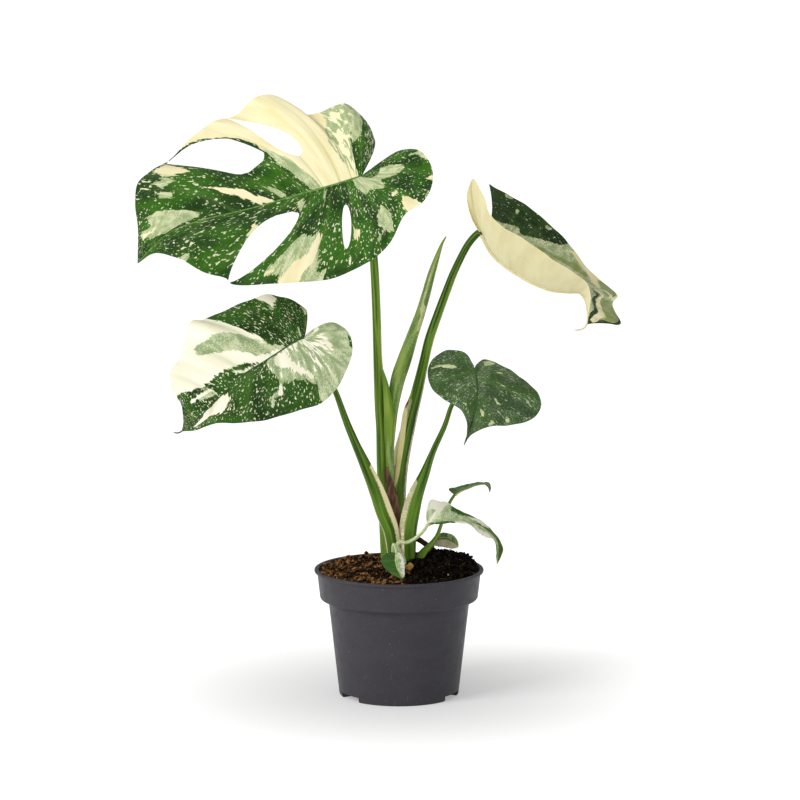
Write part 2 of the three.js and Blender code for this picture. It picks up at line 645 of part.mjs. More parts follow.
/** Points and quads of a half blade, its slits and holes opened like zips along their veins. */
function bladeGrid(leaf, half) {
  const surface = bladeSurface(leaf, half);
  const columns = stepsThrough(half.columns, half.cuts.map(({ at }) => at));
  const inner = half.cuts.flatMap(({ from, to }) => [from, to]).filter((end) => end < 1);
  const rows = stepsThrough(half.rows, inner);
  const points = [];
  const grid = rows.map((share) => {
    const openings = half.cuts.map((cut) => {
      const opening = cutOpening(cut, (share - cut.from) / (cut.to - cut.from));
      const before = surface(cut.at - CUT_PROBE, share);
      const after = surface(cut.at + CUT_PROBE, share);
      const perShare = before.distanceTo(after) / (2 * CUT_PROBE);
      return opening / 2 / perShare;
    });
    return columns.map((at) => {
      const split = half.cuts.findIndex((cut, k) => cut.at === at && openings[k] > 0);
      const lips = (split < 0 ? [0] : [-1, 1]).map((lip) => {
        const moved = half.cuts.reduce((place, cut, k) => {
          const side = Math.sign(at - cut.at) || lip;
          const near = Math.max(0, 1 - Math.abs(at - cut.at) / cut.span);
          const reach = openings[k] * (1 - side * cut.lean);
          return place + side * Math.min(reach, cut.span * CUT_REACH) * near;
        }, at);
        return points.push(surface(moved, share)) - 1;
      });
      return { left: lips[0], right: lips[lips.length - 1] };
    });
  });
  const quads = [];
  for (let i = 0; i + 1 < rows.length; i += 1) {
    for (let j = 0; j + 1 < columns.length; j += 1) {
      quads.push([
        grid[i][j].right, grid[i][j + 1].left, grid[i + 1][j + 1].left, grid[i + 1][j].right,
      ]);
    }
  }
  return { points, quads };
}

/** Gives one index to points that share a place. */
function joinPoints(points, quads) {
  const places = new Map();
  const joined = [];
  const index = points.map((point) => {
    const key = point.toArray().map((value) => Math.round(value * 100)).join(" ");
    if (!places.has(key)) places.set(key, joined.push(point) - 1);
    return places.get(key);
  });
  return { points: joined, quads: quads.map((quad) => quad.map((i) => index[i])) };
}

/** A sheet of even thickness, split into triangles alike on both faces; grow widens its rim. */
function thicken(sheet, thickness, grow) {
  const { points, quads } = joinPoints(sheet.points, sheet.quads);
  const triangles = [];
  for (const [a, b, c, d] of quads) {
    const straight = points[a].distanceTo(points[c]) <= points[b].distanceTo(points[d]);
    const pair = straight ? [[a, b, c], [a, c, d]] : [[a, b, d], [b, c, d]];
    triangles.push(...pair.filter((corners) => new Set(corners).size === 3));
  }
  const used = [...new Set(triangles.flat())];
  const normals = points.map(() => new THREE.Vector3());
  for (const [a, b, c] of triangles) {
    const ab = points[b].clone().sub(points[a]);
    const normal = ab.cross(points[c].clone().sub(points[a]));
    for (const corner of [a, b, c]) normals[corner].add(normal);
  }
  for (const normal of normals) normal.normalize();
  const sides = new Set(triangles.flatMap(([a, b, c]) => [`${a} ${b}`, `${b} ${c}`, `${c} ${a}`]));
  const rim = [...sides].map((side) => side.split(" ").map(Number))
    .filter(([a, b]) => !sides.has(`${b} ${a}`));
  const outwards = points.map(() => new THREE.Vector3());
  for (const [a, b] of rim) {
    const along = points[b].clone().sub(points[a]).normalize();
    for (const end of [a, b]) outwards[end].add(along.clone().cross(normals[end]));
  }
  const face = (side) => used.map((i) => (
    points[i].clone()
      .addScaledVector(normals[i], (side * thickness) / 2)
      .addScaledVector(outwards[i].clone().normalize(), grow)
  ));
  const top = new Map(used.map((i, place) => [i, place]));
  const bottom = new Map(used.map((i, place) => [i, place + used.length]));
  const faces = triangles.flatMap(([a, b, c]) => [
    [top.get(a), top.get(b), top.get(c)],
    [bottom.get(a), bottom.get(c), bottom.get(b)],
  ]);
  for (const [a, b] of rim) {
    faces.push([top.get(b), top.get(a), bottom.get(a)], [top.get(b), bottom.get(a), bottom.get(b)]);
  }
  return solidFrom([...face(1), ...face(-1)], faces);
}

/** The midrib as a tapering ridge under the blade that ties its two halves together. */
function midribRidge(leaf, thickness, grow) {
  const up = vector(leaf.up).normalize();
  const path = smoothCurve([...leaf.midrib, ...(leaf.tail ?? [])].map(vector));
  const steps = leaf.midrib.length * 2;
  const frames = path.computeFrenetFrames(steps, false);
  const rings = [];
  for (let i = 0; i <= steps; i += 1) {
    const radius = THREE.MathUtils.lerp(leaf.rib[0], leaf.rib[1], i / steps) + grow;
    const sunk = Math.max(0, radius - grow - thickness * RIB_RISE);
    const centre = path.getPointAt(i / steps).addScaledVector(up, -sunk);
    if (i === 0) centre.addScaledVector(frames.tangents[0], -grow);
    if (i === steps) centre.addScaledVector(frames.tangents[i], GAP + grow);
    rings.push(Array.from({ length: RIB_SIDES }, (_, j) => {
      const angle = (j / RIB_SIDES) * 2 * Math.PI;
      return centre.clone()
        .addScaledVector(frames.normals[i], radius * Math.cos(angle))
        .addScaledVector(frames.binormals[i], radius * Math.sin(angle));
    }));
  }
  return loft(rings);
}

/** A whole blade: two thin halves and the ridge of the midrib. */
function blade(leaf, grow = 0) {
  const thickness = (leaf.thickness ?? BLADE) + 2 * grow;
  const halves = [leaf.near, leaf.far].map((half) => (
    thicken(bladeGrid(leaf, half), thickness, grow)
  ));
  const ridge = midribRidge(leaf, leaf.thickness ?? BLADE, grow);
  return mainBody(ridge.add(halves[0]).add(halves[1]));
}

// Pot and soil

/** Radius of the pot's inner wall at a height. */
function innerRadius(height) {
  const { wall } = POT;
  const stepBottom = POT.bodyTopHeight + wall;
  const stepTop = POT.collarFootHeight + wall;
  const lerp = (low, high, from, to) => (
    THREE.MathUtils.mapLinear(height, low, high, from, to)
  );
  if (height >= stepTop) {
    return lerp(stepTop, POT.height, POT.collarFootRadius, POT.collarTopRadius) - wall;
  }
  if (height >= stepBottom) {
    return lerp(stepBottom, stepTop, POT.bodyTopRadius, POT.collarFootRadius) - wall;
  }
  return lerp(POT.floor, stepBottom, POT.baseRadius, POT.bodyTopRadius) - wall;
}

/** Boxes at the drain channels: from the given radius outwards, standing on the ground. */
function drainBoxes(width, height, from, to, below) {
  const boxes = [];
  for (let i = 0; i < DRAIN.count; i += 1) {
    const box = new THREE.BoxGeometry(to - from, width, height + below);
    box.translate((from + to) / 2, 0, (height - below) / 2);
    box.rotateZ(THREE.MathUtils.degToRad(DRAIN.firstAngle + (i * 360) / DRAIN.count));
    boxes.push(solidOf(box));
  }
  return boxes;
}

function potSolid() {
  const { wall, height, lipRounding: round } = POT;
  const lipBottom = height - POT.lipHeight;
  const ledge = (POT.bodyTopHeight + POT.collarFootHeight) / 2;
  const outline = [
    [0, 0],
    [POT.baseRadius - POT.baseRounding, 0],
    [POT.baseRadius, POT.baseRounding],
    [POT.bodyTopRadius, POT.bodyTopHeight],
    [POT.collarFootRadius - POT.stepInset, ledge],
    [POT.collarFootRadius, POT.collarFootHeight],
    [POT.collarTopRadius, lipBottom - round],
    [POT.rimRadius - round, lipBottom],
    [POT.rimRadius, lipBottom + round],
    [POT.rimRadius, height - round],
    [POT.rimRadius - round, height],
    [innerRadius(height) + round, height],
    [innerRadius(height - round), height - round],
    [innerRadius(POT.collarFootHeight + wall), POT.collarFootHeight + wall],
    [innerRadius(POT.bodyTopHeight + wall), POT.bodyTopHeight + wall],
    [innerRadius(POT.floor), POT.floor],
    [0, POT.floor],
  ];
  const profile = outline.map(([radius, level]) => new THREE.Vector2(radius, level));
  const turned = new THREE.LatheGeometry(profile, POT.sides);
  turned.rotateX(Math.PI / 2);
  const reach = POT.baseRadius - POT.wall / 2;
  const disc = new THREE.CylinderGeometry(reach, reach, POT.height, POT.sides);
  const inside = solidOf(disc.rotateX(Math.PI / 2));
  const housings = drainBoxes(
    DRAIN.width + 2 * DRAIN.wall, DRAIN.height + DRAIN.wall,
    DRAIN.innerRadius - DRAIN.wall, POT.baseRadius, -POT.floor / 2,
  ).map((box) => box.intersect(inside));
  const channels = drainBoxes(DRAIN.width, DRAIN.height, DRAIN.innerRadius, POT.rimRadius, 1);
  const holes = [];
  const drill = 2 * (DRAIN.height + DRAIN.wall);
  for (let i = 0; i < DRAIN.count; i += 1) {
    const hole = new THREE.CylinderGeometry(
      DRAIN.holeRadius, DRAIN.holeRadius, drill, DRAIN.holeSides,
    );
    hole.rotateX(Math.PI / 2);
    hole.translate(DRAIN.holeAt, 0, DRAIN.height);
    hole.rotateZ(THREE.MathUtils.degToRad(DRAIN.firstAngle + (i * 360) / DRAIN.count));
    holes.push(solidOf(hole));
  }
  const shell = housings.reduce((sum, box) => sum.add(box), solidOf(turned));
  return [...channels, ...holes].reduce((rest, hole) => rest.subtract(hole), shell);
}

/** Height of a gentle mound at a place. */
function mound({ x, y, height, spreadX, spreadY }, px, py) {
  return height * Math.exp(-(((px - x) / spreadX) ** 2 + ((py - y) / spreadY) ** 2) / 2);
}

/** Height of the soil's surface, with small lumps. */
function soilHeight(x, y) {
  const lumps = Math.sin(x * 0.61 + 1.3) * Math.cos(y * 0.57 - 0.4)
    + 0.7 * Math.sin(x * 0.23 - y * 0.41 + 2.1) * Math.cos(y * 0.93 + x * 0.37);
  return SOIL.level + mound(SOIL.stemMound, x, y) + mound(SOIL.rearMound, x, y) + SOIL.bump * lumps;
}

function soilSolid(stalks) {
  const wallGap = (height) => innerRadius(height) - GAP;
  const step = [POT.bodyTopHeight, POT.collarFootHeight].map((height) => height + POT.wall);
  const levels = [SOIL.bottom, step[0] + GAP, step[1] + GAP];
  const radii = [wallGap(SOIL.bottom), wallGap(step[0] - GAP), wallGap(step[1])];
  const ring = (radius, height) => Array.from({ length: SOIL.sides }, (_, i) => {
    const angle = (i / SOIL.sides) * 2 * Math.PI;
    const [x, y] = [radius * Math.cos(angle), radius * Math.sin(angle)];
    return new THREE.Vector3(x, y, height ?? soilHeight(x, y));
  });
  const rings = levels.map((level, i) => ring(radii[i], level));
  const topRadius = wallGap(SOIL.level - SOIL.edgeDrop);
  for (let i = SOIL.rings; i > 0; i -= 1) rings.push(ring((topRadius * i) / SOIL.rings));
  return clearOf(loft(rings), stalks);
}

// Assembly: each stalk is kept clear of the ones in front of it and of its own blade
const leaves = {
  upper: UPPER_LEAF, left: LEFT_LEAF, right: RIGHT_LEAF, heart: HEART_LEAF,
};
const shoots = {
  arching: ARCHING_SHOOT, narrow: NARROW_SHOOT, drooping: DROOPING_SHOOT, rear: REAR_SHOOT,
};
const leafFinish = {
  upper: FINISH.blade, left: FINISH.blade, right: FINISH.paleBlade, heart: FINISH.darkBlade,
};

const plant = new THREE.Group();

function addPiece(name, solid, { color, roughness }) {
  const material = new THREE.MeshStandardMaterial({ color, roughness, metalness: 0 });
  const mesh = new THREE.Mesh(geometryOf(solid), material);
  mesh.name = name;
  plant.add(mesh);
}

const placed = []; // stalks so far, thickened by the clearance

/** Adds a stalk that gives way to every stalk placed before it. */
function addStalk(name, shape, finish, others = []) {
  addPiece(name, clearOf(stalk(shape), [...placed, ...others]), finish);
  placed.push(stalk(shape, GAP));
}

/** Adds a blade and the stalk that carries it, the stalk's top cut clear of the blade. */
function addLeaf(kind, side, leaf, finish, shape) {
  const whole = blade(leaf);
  addPiece(`${kind}leaf_${side}`, whole, finish);
  addStalk(`${kind}petiole_${side}`, shape, FINISH.petiole, [whole, blade(leaf, GAP)]);
}

for (const side of ["left", "heart", "upper", "right"]) {
  addLeaf("", side, leaves[side], leafFinish[side], PETIOLES[side]);
}
addStalk("stem", STEM, FINISH.stem);
addStalk("furled_leaf", FURLED_LEAF, FINISH.furled);
for (const side of ["arching", "narrow", "drooping", "rear"]) {
  addLeaf("shoot_", side, shoots[side], FINISH.blade, SHOOT_PETIOLES[side]);
}
addStalk("dry_sheath", DRY_SHEATH, FINISH.dry);
addStalk("aerial_root", AERIAL_ROOT, FINISH.root);
addStalk("dry_husk", HUSK, FINISH.husk);
addPiece("soil", soilSolid(placed), FINISH.soil);
addPiece("pot", potSolid(), FINISH.pot);

export default plant;
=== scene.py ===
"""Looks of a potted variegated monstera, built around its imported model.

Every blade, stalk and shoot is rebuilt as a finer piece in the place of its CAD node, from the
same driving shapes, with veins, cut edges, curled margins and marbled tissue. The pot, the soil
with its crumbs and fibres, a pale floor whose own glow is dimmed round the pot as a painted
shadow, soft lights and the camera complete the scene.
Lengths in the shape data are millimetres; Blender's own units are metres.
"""

import logging
import math
from dataclasses import dataclass, replace
from enum import Enum
from functools import cache
from typing import Callable, Iterable, Sequence

import bpy
import numpy as np
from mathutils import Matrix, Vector


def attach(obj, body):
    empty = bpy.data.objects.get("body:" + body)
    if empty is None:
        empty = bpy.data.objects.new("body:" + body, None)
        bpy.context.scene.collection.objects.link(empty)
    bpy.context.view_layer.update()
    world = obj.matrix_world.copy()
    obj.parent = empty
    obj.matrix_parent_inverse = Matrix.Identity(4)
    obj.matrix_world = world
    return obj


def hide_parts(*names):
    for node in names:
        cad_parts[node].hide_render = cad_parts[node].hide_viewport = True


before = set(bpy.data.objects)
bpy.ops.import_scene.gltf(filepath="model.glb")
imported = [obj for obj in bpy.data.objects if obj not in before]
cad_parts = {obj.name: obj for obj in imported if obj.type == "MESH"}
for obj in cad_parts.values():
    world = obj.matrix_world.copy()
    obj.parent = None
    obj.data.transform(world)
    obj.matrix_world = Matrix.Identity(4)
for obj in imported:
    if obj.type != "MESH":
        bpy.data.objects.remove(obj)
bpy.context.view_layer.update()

log = logging.getLogger("monstera")

MM = 0.001
ROOT_BODY = "root"
MERGE = 2e-5  # metres within which seam points are one

Point = tuple[float, float, float]
Share = tuple[float, float]
Colour = tuple[float, float, float]
Surface = Callable[[np.ndarray, np.ndarray], np.ndarray]  # points at shares of margin and vein


# Shader graphs


def srgb(red: int, green: int, blue: int) -> Colour:
    """Turns a display colour into linear values.

    Args:
        red: Red from 0 to 255.
        green: Green from 0 to 255.
        blue: Blue from 0 to 255.

    Returns:
        The linear colour.
    """

    def linear(value: float) -> float:
        """Linear value of one channel."""
        return value / 12.92 if value <= 0.04045 else ((value + 0.055) / 1.055) ** 2.4

    return tuple(linear(channel / 255) for channel in (red, green, blue))


class Wire:
    """A socket in shader maths, whose operators add Math nodes."""

    def __init__(self, graph: "Graph", socket: bpy.types.NodeSocket) -> None:
        """Wraps an output socket of a graph."""
        self.graph = graph
        self.socket = socket

    def __add__(self, other: "Value") -> "Wire":
        """Sum."""
        return self.graph.maths("ADD", self, other)

    __radd__ = __add__

    def __sub__(self, other: "Value") -> "Wire":
        """Difference."""
        return self.graph.maths("SUBTRACT", self, other)

    def __rsub__(self, other: "Value") -> "Wire":
        """Difference from a number."""
        return self.graph.maths("SUBTRACT", other, self)

    def __mul__(self, other: "Value") -> "Wire":
        """Product."""
        return self.graph.maths("MULTIPLY", self, other)

    __rmul__ = __mul__


Value = Wire | float


class Graph:
    """The node graph of one material."""

    def __init__(self, name: str) -> None:
        """Makes a material with an empty graph.

        Args:
            name: The material's name.
        """
        self.material = bpy.data.materials.new(name)
        self.material.use_nodes = True
        self.tree = self.material.node_tree
        self.tree.nodes.clear()

    def add(self, kind: str, settings: dict | None, inputs: dict | None) -> bpy.types.Node:
        """Adds a node.

        Args:
            kind: The node's type.
            settings: Properties that are set before its sockets.
            inputs: Values or wires by socket name or index.

        Returns:
            The node.
        """
        made = self.tree.nodes.new(kind)
        for key, value in (settings or {}).items():
            setattr(made, key, value)
        for key, value in (inputs or {}).items():
            if isinstance(value, Wire):
                self.tree.links.new(value.socket, made.inputs[key])
            elif isinstance(value, tuple) and len(value) == 3 and made.inputs[key].type == "RGBA":
                made.inputs[key].default_value = (*value, 1)
            else:
                made.inputs[key].default_value = value
        return made

    def node(
        self, kind: str, settings: dict | None = None, inputs: dict | None = None, output: int | str = 0
    ) -> Wire:
        """Adds a node and gives one of its outputs as a wire."""
        return Wire(self, self.add(kind, settings, inputs).outputs[output])

    def maths(self, operation: str, *values: Value) -> Wire:
        """Adds a Math node with its values."""
        return self.node("ShaderNodeMath", {"operation": operation}, dict(enumerate(values)))

    def attribute(self, name: str) -> Wire:
        """Reads a number that is stored on the mesh's points."""
        return self.node("ShaderNodeAttribute", {"attribute_name": name}, output="Fac")

    def place(self) -> Wire:
        """Object coordinates, in metres."""
        return self.node("ShaderNodeTexCoord", output="Object")

    def along(self) -> Wire:
        """The piece's own UV map, in metres across and along its veins."""
        return self.node("ShaderNodeTexCoord", output="UV")

    def grains(self, vector: Wire, size: Point, detail: float = 2.0, distortion: float = 0.0) -> Wire:
        """Smooth noise with grains of a size.

        Args:
            vector: Where the noise is read.
            size: Size of a grain along each axis, in millimetres.
            detail: Octaves of finer noise.
            distortion: How far the noise is bent by itself.

        Returns:
            Noise from 0 to 1, mostly near 0.5.
        """
        scale = tuple(1 / (length * MM) for length in size)
        scaled = self.node("ShaderNodeVectorMath", {"operation": "MULTIPLY"}, {0: vector, 1: scale})
        inputs = {"Vector": scaled, "Scale": 1.0, "Detail": detail, "Distortion": distortion}
        return self.node("ShaderNodeTexNoise", {"noise_dimensions": "3D"}, inputs)

    def ramp(self, value: Wire, low: float, high: float, start: float = 0.0, end: float = 1.0) -> Wire:
        """Smooth step of a value from one number to another.

        Args:
            value: The value.
            low: Where the step begins.
            high: Where the step ends.
            start: Result below the step.
            end: Result above the step.

        Returns:
            The stepped value.
        """
        inputs = {"Value": value, "From Min": low, "From Max": high, "To Min": start, "To Max": end}
        return self.node("ShaderNodeMapRange", {"interpolation_type": "SMOOTHSTEP"}, inputs)

    def mix(self, share: Value, first: Wire | Colour, second: Wire | Colour) -> Wire:
        """Blends two colours."""
        inputs = {0: share, 6: first, 7: second}
        return self.node("ShaderNodeMix", {"data_type": "RGBA"}, inputs, output=2)

    def bump(self, height: Wire, depth: float) -> Wire:
        """A normal bent by a height.

        Args:
            height: The height, from 0 to 1.
            depth: How high 1 stands, in millimetres.

        Returns:
            The normal.
        """
        inputs = {"Height": height, "Distance": depth * MM, "Strength": 1.0}
        return self.node("ShaderNodeBump", None, inputs, output="Normal")

    def surface(self, **sockets: Wire | Colour | float) -> bpy.types.Material:
        """Ends the graph in a Principled shader.

        Args:
            **sockets: Values by socket name, with underscores for spaces.

        Returns:
            The finished material.
        """
        inputs = {name.replace("_", " "): value for name, value in sockets.items()}
        shader = self.node("ShaderNodeBsdfPrincipled", None, inputs)
        self.add("ShaderNodeOutputMaterial", None, {"Surface": shader})
        return self.material


# Mesh helpers


def select_only(*objects: bpy.types.Object) -> None:
    """Selects objects and nothing else.

    Args:
        *objects: The objects, of which the first becomes active.
    """
    bpy.ops.object.select_all(action="DESELECT")
    for obj in objects:
        obj.select_set(True)
    bpy.context.view_layer.objects.active = objects[0]


def unit_grid(columns: int, rows: int) -> bpy.types.Object:
    """Adds a grid whose x and y run from 0 to 1.

    Args:
        columns: Faces along x.
        rows: Faces along y.

    Returns:
        The new object.
    """
    bpy.ops.object.select_all(action="DESELECT")
    bpy.ops.mesh.primitive_grid_add(
        x_subdivisions=columns, y_subdivisions=rows, size=1, location=(0.5, 0.5, 0)
    )
    bpy.ops.object.transform_apply(location=True)
    return bpy.context.object


def read_points(obj: bpy.types.Object) -> np.ndarray:
    """Reads the places of an object's vertices.

    Args:
        obj: The object.

    Returns:
        One row for each vertex, in metres.
    """
    flat = np.empty(len(obj.data.vertices) * 3)
    obj.data.vertices.foreach_get("co", flat)
    return flat.reshape(-1, 3)


def write_points(obj: bpy.types.Object, points: np.ndarray) -> None:
    """Moves an object's vertices to new places."""
    obj.data.vertices.foreach_set("co", np.ascontiguousarray(points, float).ravel())
    obj.data.update()


def write_field(obj: bpy.types.Object, name: str, values: np.ndarray) -> None:
    """Stores one number for each vertex under a name."""
    layer = obj.data.attributes.new(name, "FLOAT", "POINT")
    layer.data.foreach_set("value", np.ascontiguousarray(values, np.float32))


def write_uv(obj: bpy.types.Object, across: np.ndarray, along: np.ndarray) -> None:
    """Sets the UV map from two numbers for each vertex.

    Args:
        obj: The object.
        across: Metres across the veins.
        along: Metres along the veins.
    """
    corners = np.empty(len(obj.data.loops), np.int32)
    obj.data.loops.foreach_get("vertex_index", corners)
    pairs = np.column_stack([across[corners], along[corners]]).astype(np.float32)
    obj.data.uv_layers.active.data.foreach_set("uv", pairs.ravel())


def edit(obj: bpy.types.Object, *steps: Callable[[], object]) -> None:
    """Runs steps in edit mode with all of an object selected.

    Args:
        obj: The object.
        *steps: Functions without arguments.
    """
    select_only(obj)
    bpy.ops.object.mode_set(mode="EDIT")
    bpy.ops.mesh.select_all(action="SELECT")
    for step in steps:
        step()
    bpy.ops.object.mode_set(mode="OBJECT")


def weld() -> None:
    """Merges the selected points that share a place."""
    bpy.ops.mesh.remove_doubles(threshold=MERGE)


def close_ends() -> None:
    """Fills every open ring of the edited mesh."""
    bpy.ops.mesh.fill_holes(sides=0)


def outwards() -> None:
    """Turns the faces of the edited mesh outwards."""
    bpy.ops.mesh.normals_make_consistent(inside=False)


def joined(objects: Sequence[bpy.types.Object], name: str) -> bpy.types.Object:
    """Joins objects into one.

    Args:
        objects: The objects.
        name: Name of the joined object and of its mesh.

    Returns:
        The joined object.
    """
    select_only(*objects)
    if len(objects) > 1:
        bpy.ops.object.join()
    whole = bpy.context.object
    whole.name = name
    whole.data.name = name
    return whole


def apply_modifier(obj: bpy.types.Object, kind: str, **settings: object) -> None:
    """Adds a modifier and applies it.

    Args:
        obj: The object.
        kind: The modifier's type.
        **settings: Its properties by name.
    """
    modifier = obj.modifiers.new(kind.title(), kind)
    for key, value in settings.items():
        setattr(modifier, key, value)
    select_only(obj)
    bpy.ops.object.modifier_apply(modifier=modifier.name)


def smooth(obj: bpy.types.Object, degrees: float) -> None:
    """Shades an object smooth, except over edges sharper than an angle."""
    select_only(obj)
    bpy.ops.object.shade_smooth_by_angle(angle=math.radians(degrees))


def hand_over(obj: bpy.types.Object, slot: str, *nodes: str) -> None:
    """Lets a finished piece ride on the part, in the place of its CAD nodes.

    Args:
        obj: The piece.
        slot: The record's material slot, which is not used.
        *nodes: The CAD nodes that the piece stands for.
    """
    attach(obj, ROOT_BODY)
    if nodes:
        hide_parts(*nodes)


# Curves


def curve_points(knots: np.ndarray, places: np.ndarray) -> np.ndarray:
    """Points of a smooth curve through knots.

    Args:
        knots: One knot in each row.
        places: Places on the curve, counted in knots.

    Returns:
        One row for each place.
    """
    last = len(knots) - 1
    clipped = np.clip(places, 0, last - 1e-9)
    before = np.floor(clipped).astype(int)
    part = (clipped - before)[..., None]
    padded = np.vstack([2 * knots[0] - knots[1], knots, 2 * knots[-1] - knots[-2]])
    a, b, c, d = (padded[before + step] for step in range(4))
    square = (2 * a - 5 * b + 4 * c - d) * part**2
    cube = (3 * b - a - 3 * c + d) * part**3
    return 0.5 * (2 * b + (c - a) * part + square + cube)


class Rail:
    """A smooth curve that can be walked by shares of its length."""

    SAMPLES = 1600

    def __init__(self, knots: Iterable[Sequence[float]]) -> None:
        """Measures the curve.

        Args:
            knots: Points that the curve passes through.
        """
        self.knots = np.array(list(knots), float)
        self.dense = np.linspace(0, len(self.knots) - 1, self.SAMPLES + 1)
        steps = np.linalg.norm(np.diff(curve_points(self.knots, self.dense), axis=0), axis=1)
        walked = np.concatenate([[0], np.cumsum(steps)])
        self.length = walked[-1]
        self.shares = walked / walked[-1]

    def knot_place(self, share: np.ndarray) -> np.ndarray:
        """Places counted in knots at shares of the length."""
        return np.interp(np.clip(share, 0, 1), self.shares, self.dense)

    def point(self, share: np.ndarray) -> np.ndarray:
        """Points at shares of the length."""
        return curve_points(self.knots, self.knot_place(share))

    def tangent(self, share: np.ndarray, step: float = 0.004) -> np.ndarray:
        """Directions along the curve at shares of its length, measured a step to each side."""
        return unit(self.point(share + step) - self.point(share - step))


def smoothstep(low: float, high: float, value: np.ndarray) -> np.ndarray:
    """A smooth step from 0 to 1 between two numbers."""
    part = np.clip((value - low) / (high - low), 0, 1)
    return part * part * (3 - 2 * part)


def unit(vectors: np.ndarray) -> np.ndarray:
    """Vectors of length 1."""
    return vectors / np.maximum(np.linalg.norm(vectors, axis=-1, keepdims=True), 1e-12)


# Marbled tissue


class Tone(Enum):
    """The tissues that a variegated leaf is made of."""

    GREEN = "green"
    PALE = "pale"
    CREAM = "cream"
    MARBLE = "marble"
    OLIVE = "olive"
    DASHES = "dashes"

    def patch(self, *outline: Share) -> "Patch":
        """A sector of this tissue.

        Args:
            *outline: Corners in order, in hundredths across and along the veins.

        Returns:
            The sector.
        """
        return Patch(self, tuple((across / 100, along / 100) for across, along in outline))


@dataclass(frozen=True)
class Patch:
    """A sector of one tissue, outlined in shares across and along the veins."""

    tone: Tone
    outline: tuple[Share, ...]


def inside_distance(points: np.ndarray, outline: np.ndarray) -> np.ndarray:
    """Distance of points to an outline, positive inside it.

    Args:
        points: One point in each row.
        outline: Corners of the outline in order.

    Returns:
        One distance for each point.
    """
    nearest = np.full(len(points), np.inf)
    inside = np.zeros(len(points), bool)
    for start, end in zip(outline, np.roll(outline, -1, axis=0)):
        side = end - start
        offset = points - start
        part = np.clip(offset @ side / max(side @ side, 1e-12), 0, 1)
        nearest = np.minimum(nearest, np.linalg.norm(offset - part[:, None] * side, axis=1))
        crosses = (start[1] > points[:, 1]) != (end[1] > points[:, 1])
        rise = (points[:, 1] - start[1]) / (side[1] if side[1] else 1e-12)
        inside ^= crosses & (points[:, 0] < start[0] + rise * side[0])
    return np.where(inside, nearest, -nearest)


def soft_max(first: np.ndarray, second: np.ndarray, reach: float = 8.0) -> np.ndarray:
    """Takes the larger of two fields, rounded up where they are alike.

    Args:
        first: One field.
        second: The other field.
        reach: Difference within which they count as alike.

    Returns:
        The joint field.
    """
    near = np.clip(reach - np.abs(first - second), 0, None)
    return np.maximum(first, second) + near**2 / (4 * reach)


class Tissue:
    """Paints patches as distance fields on a sheet's vertices."""

    FAR = 60.0  # distance that stands for no patch at all
    FIELDS = ("light", "cream", "olive", "cloud", "dash")

    def __init__(self, patches: Sequence[Patch], size: Share) -> None:
        """Keeps the patches and the sheet's size in millimetres across and along its veins."""
        self.patches = patches
        self.size = np.array(size)

    def paint(self, obj: bpy.types.Object, across: np.ndarray, along: np.ndarray) -> None:
        """Stores the fields of all tones on an object.

        Args:
            obj: The sheet.
            across: Share across the veins of each vertex.
            along: Share along its vein of each vertex.
        """
        spots = np.column_stack([across, along]) * self.size
        fields = {name: np.full(len(spots), -self.FAR) for name in self.FIELDS}
        for patch in self.patches:
            depth = inside_distance(spots, np.array(patch.outline) * self.size)
            self._lay(fields, patch.tone, depth)
        for name, values in fields.items():
            write_field(obj, name, values)

    @staticmethod
    def _lay(fields: dict[str, np.ndarray], tone: Tone, depth: np.ndarray) -> None:
        """Lays one patch over the fields so far.

        Args:
            fields: Distance fields by name, which are changed.
            tone: The patch's tissue.
            depth: Distance inside the patch.
        """
        if tone is Tone.DASHES:
            fields["dash"] = np.maximum(fields["dash"], depth)
            return
        raised = {
            Tone.GREEN: (),
            Tone.PALE: ("light",),
            Tone.CREAM: ("light", "cream"),
            Tone.MARBLE: ("light", "cloud"),
            Tone.OLIVE: ("light", "olive"),
        }[tone]
        for name in ("light", "cream", "olive", "cloud"):
            if name == "light" and raised:
                fields[name] = soft_max(fields[name], depth)
            elif name in raised:
                fields[name] = np.maximum(fields[name], depth)
            else:
                fields[name] = np.minimum(fields[name], -depth)


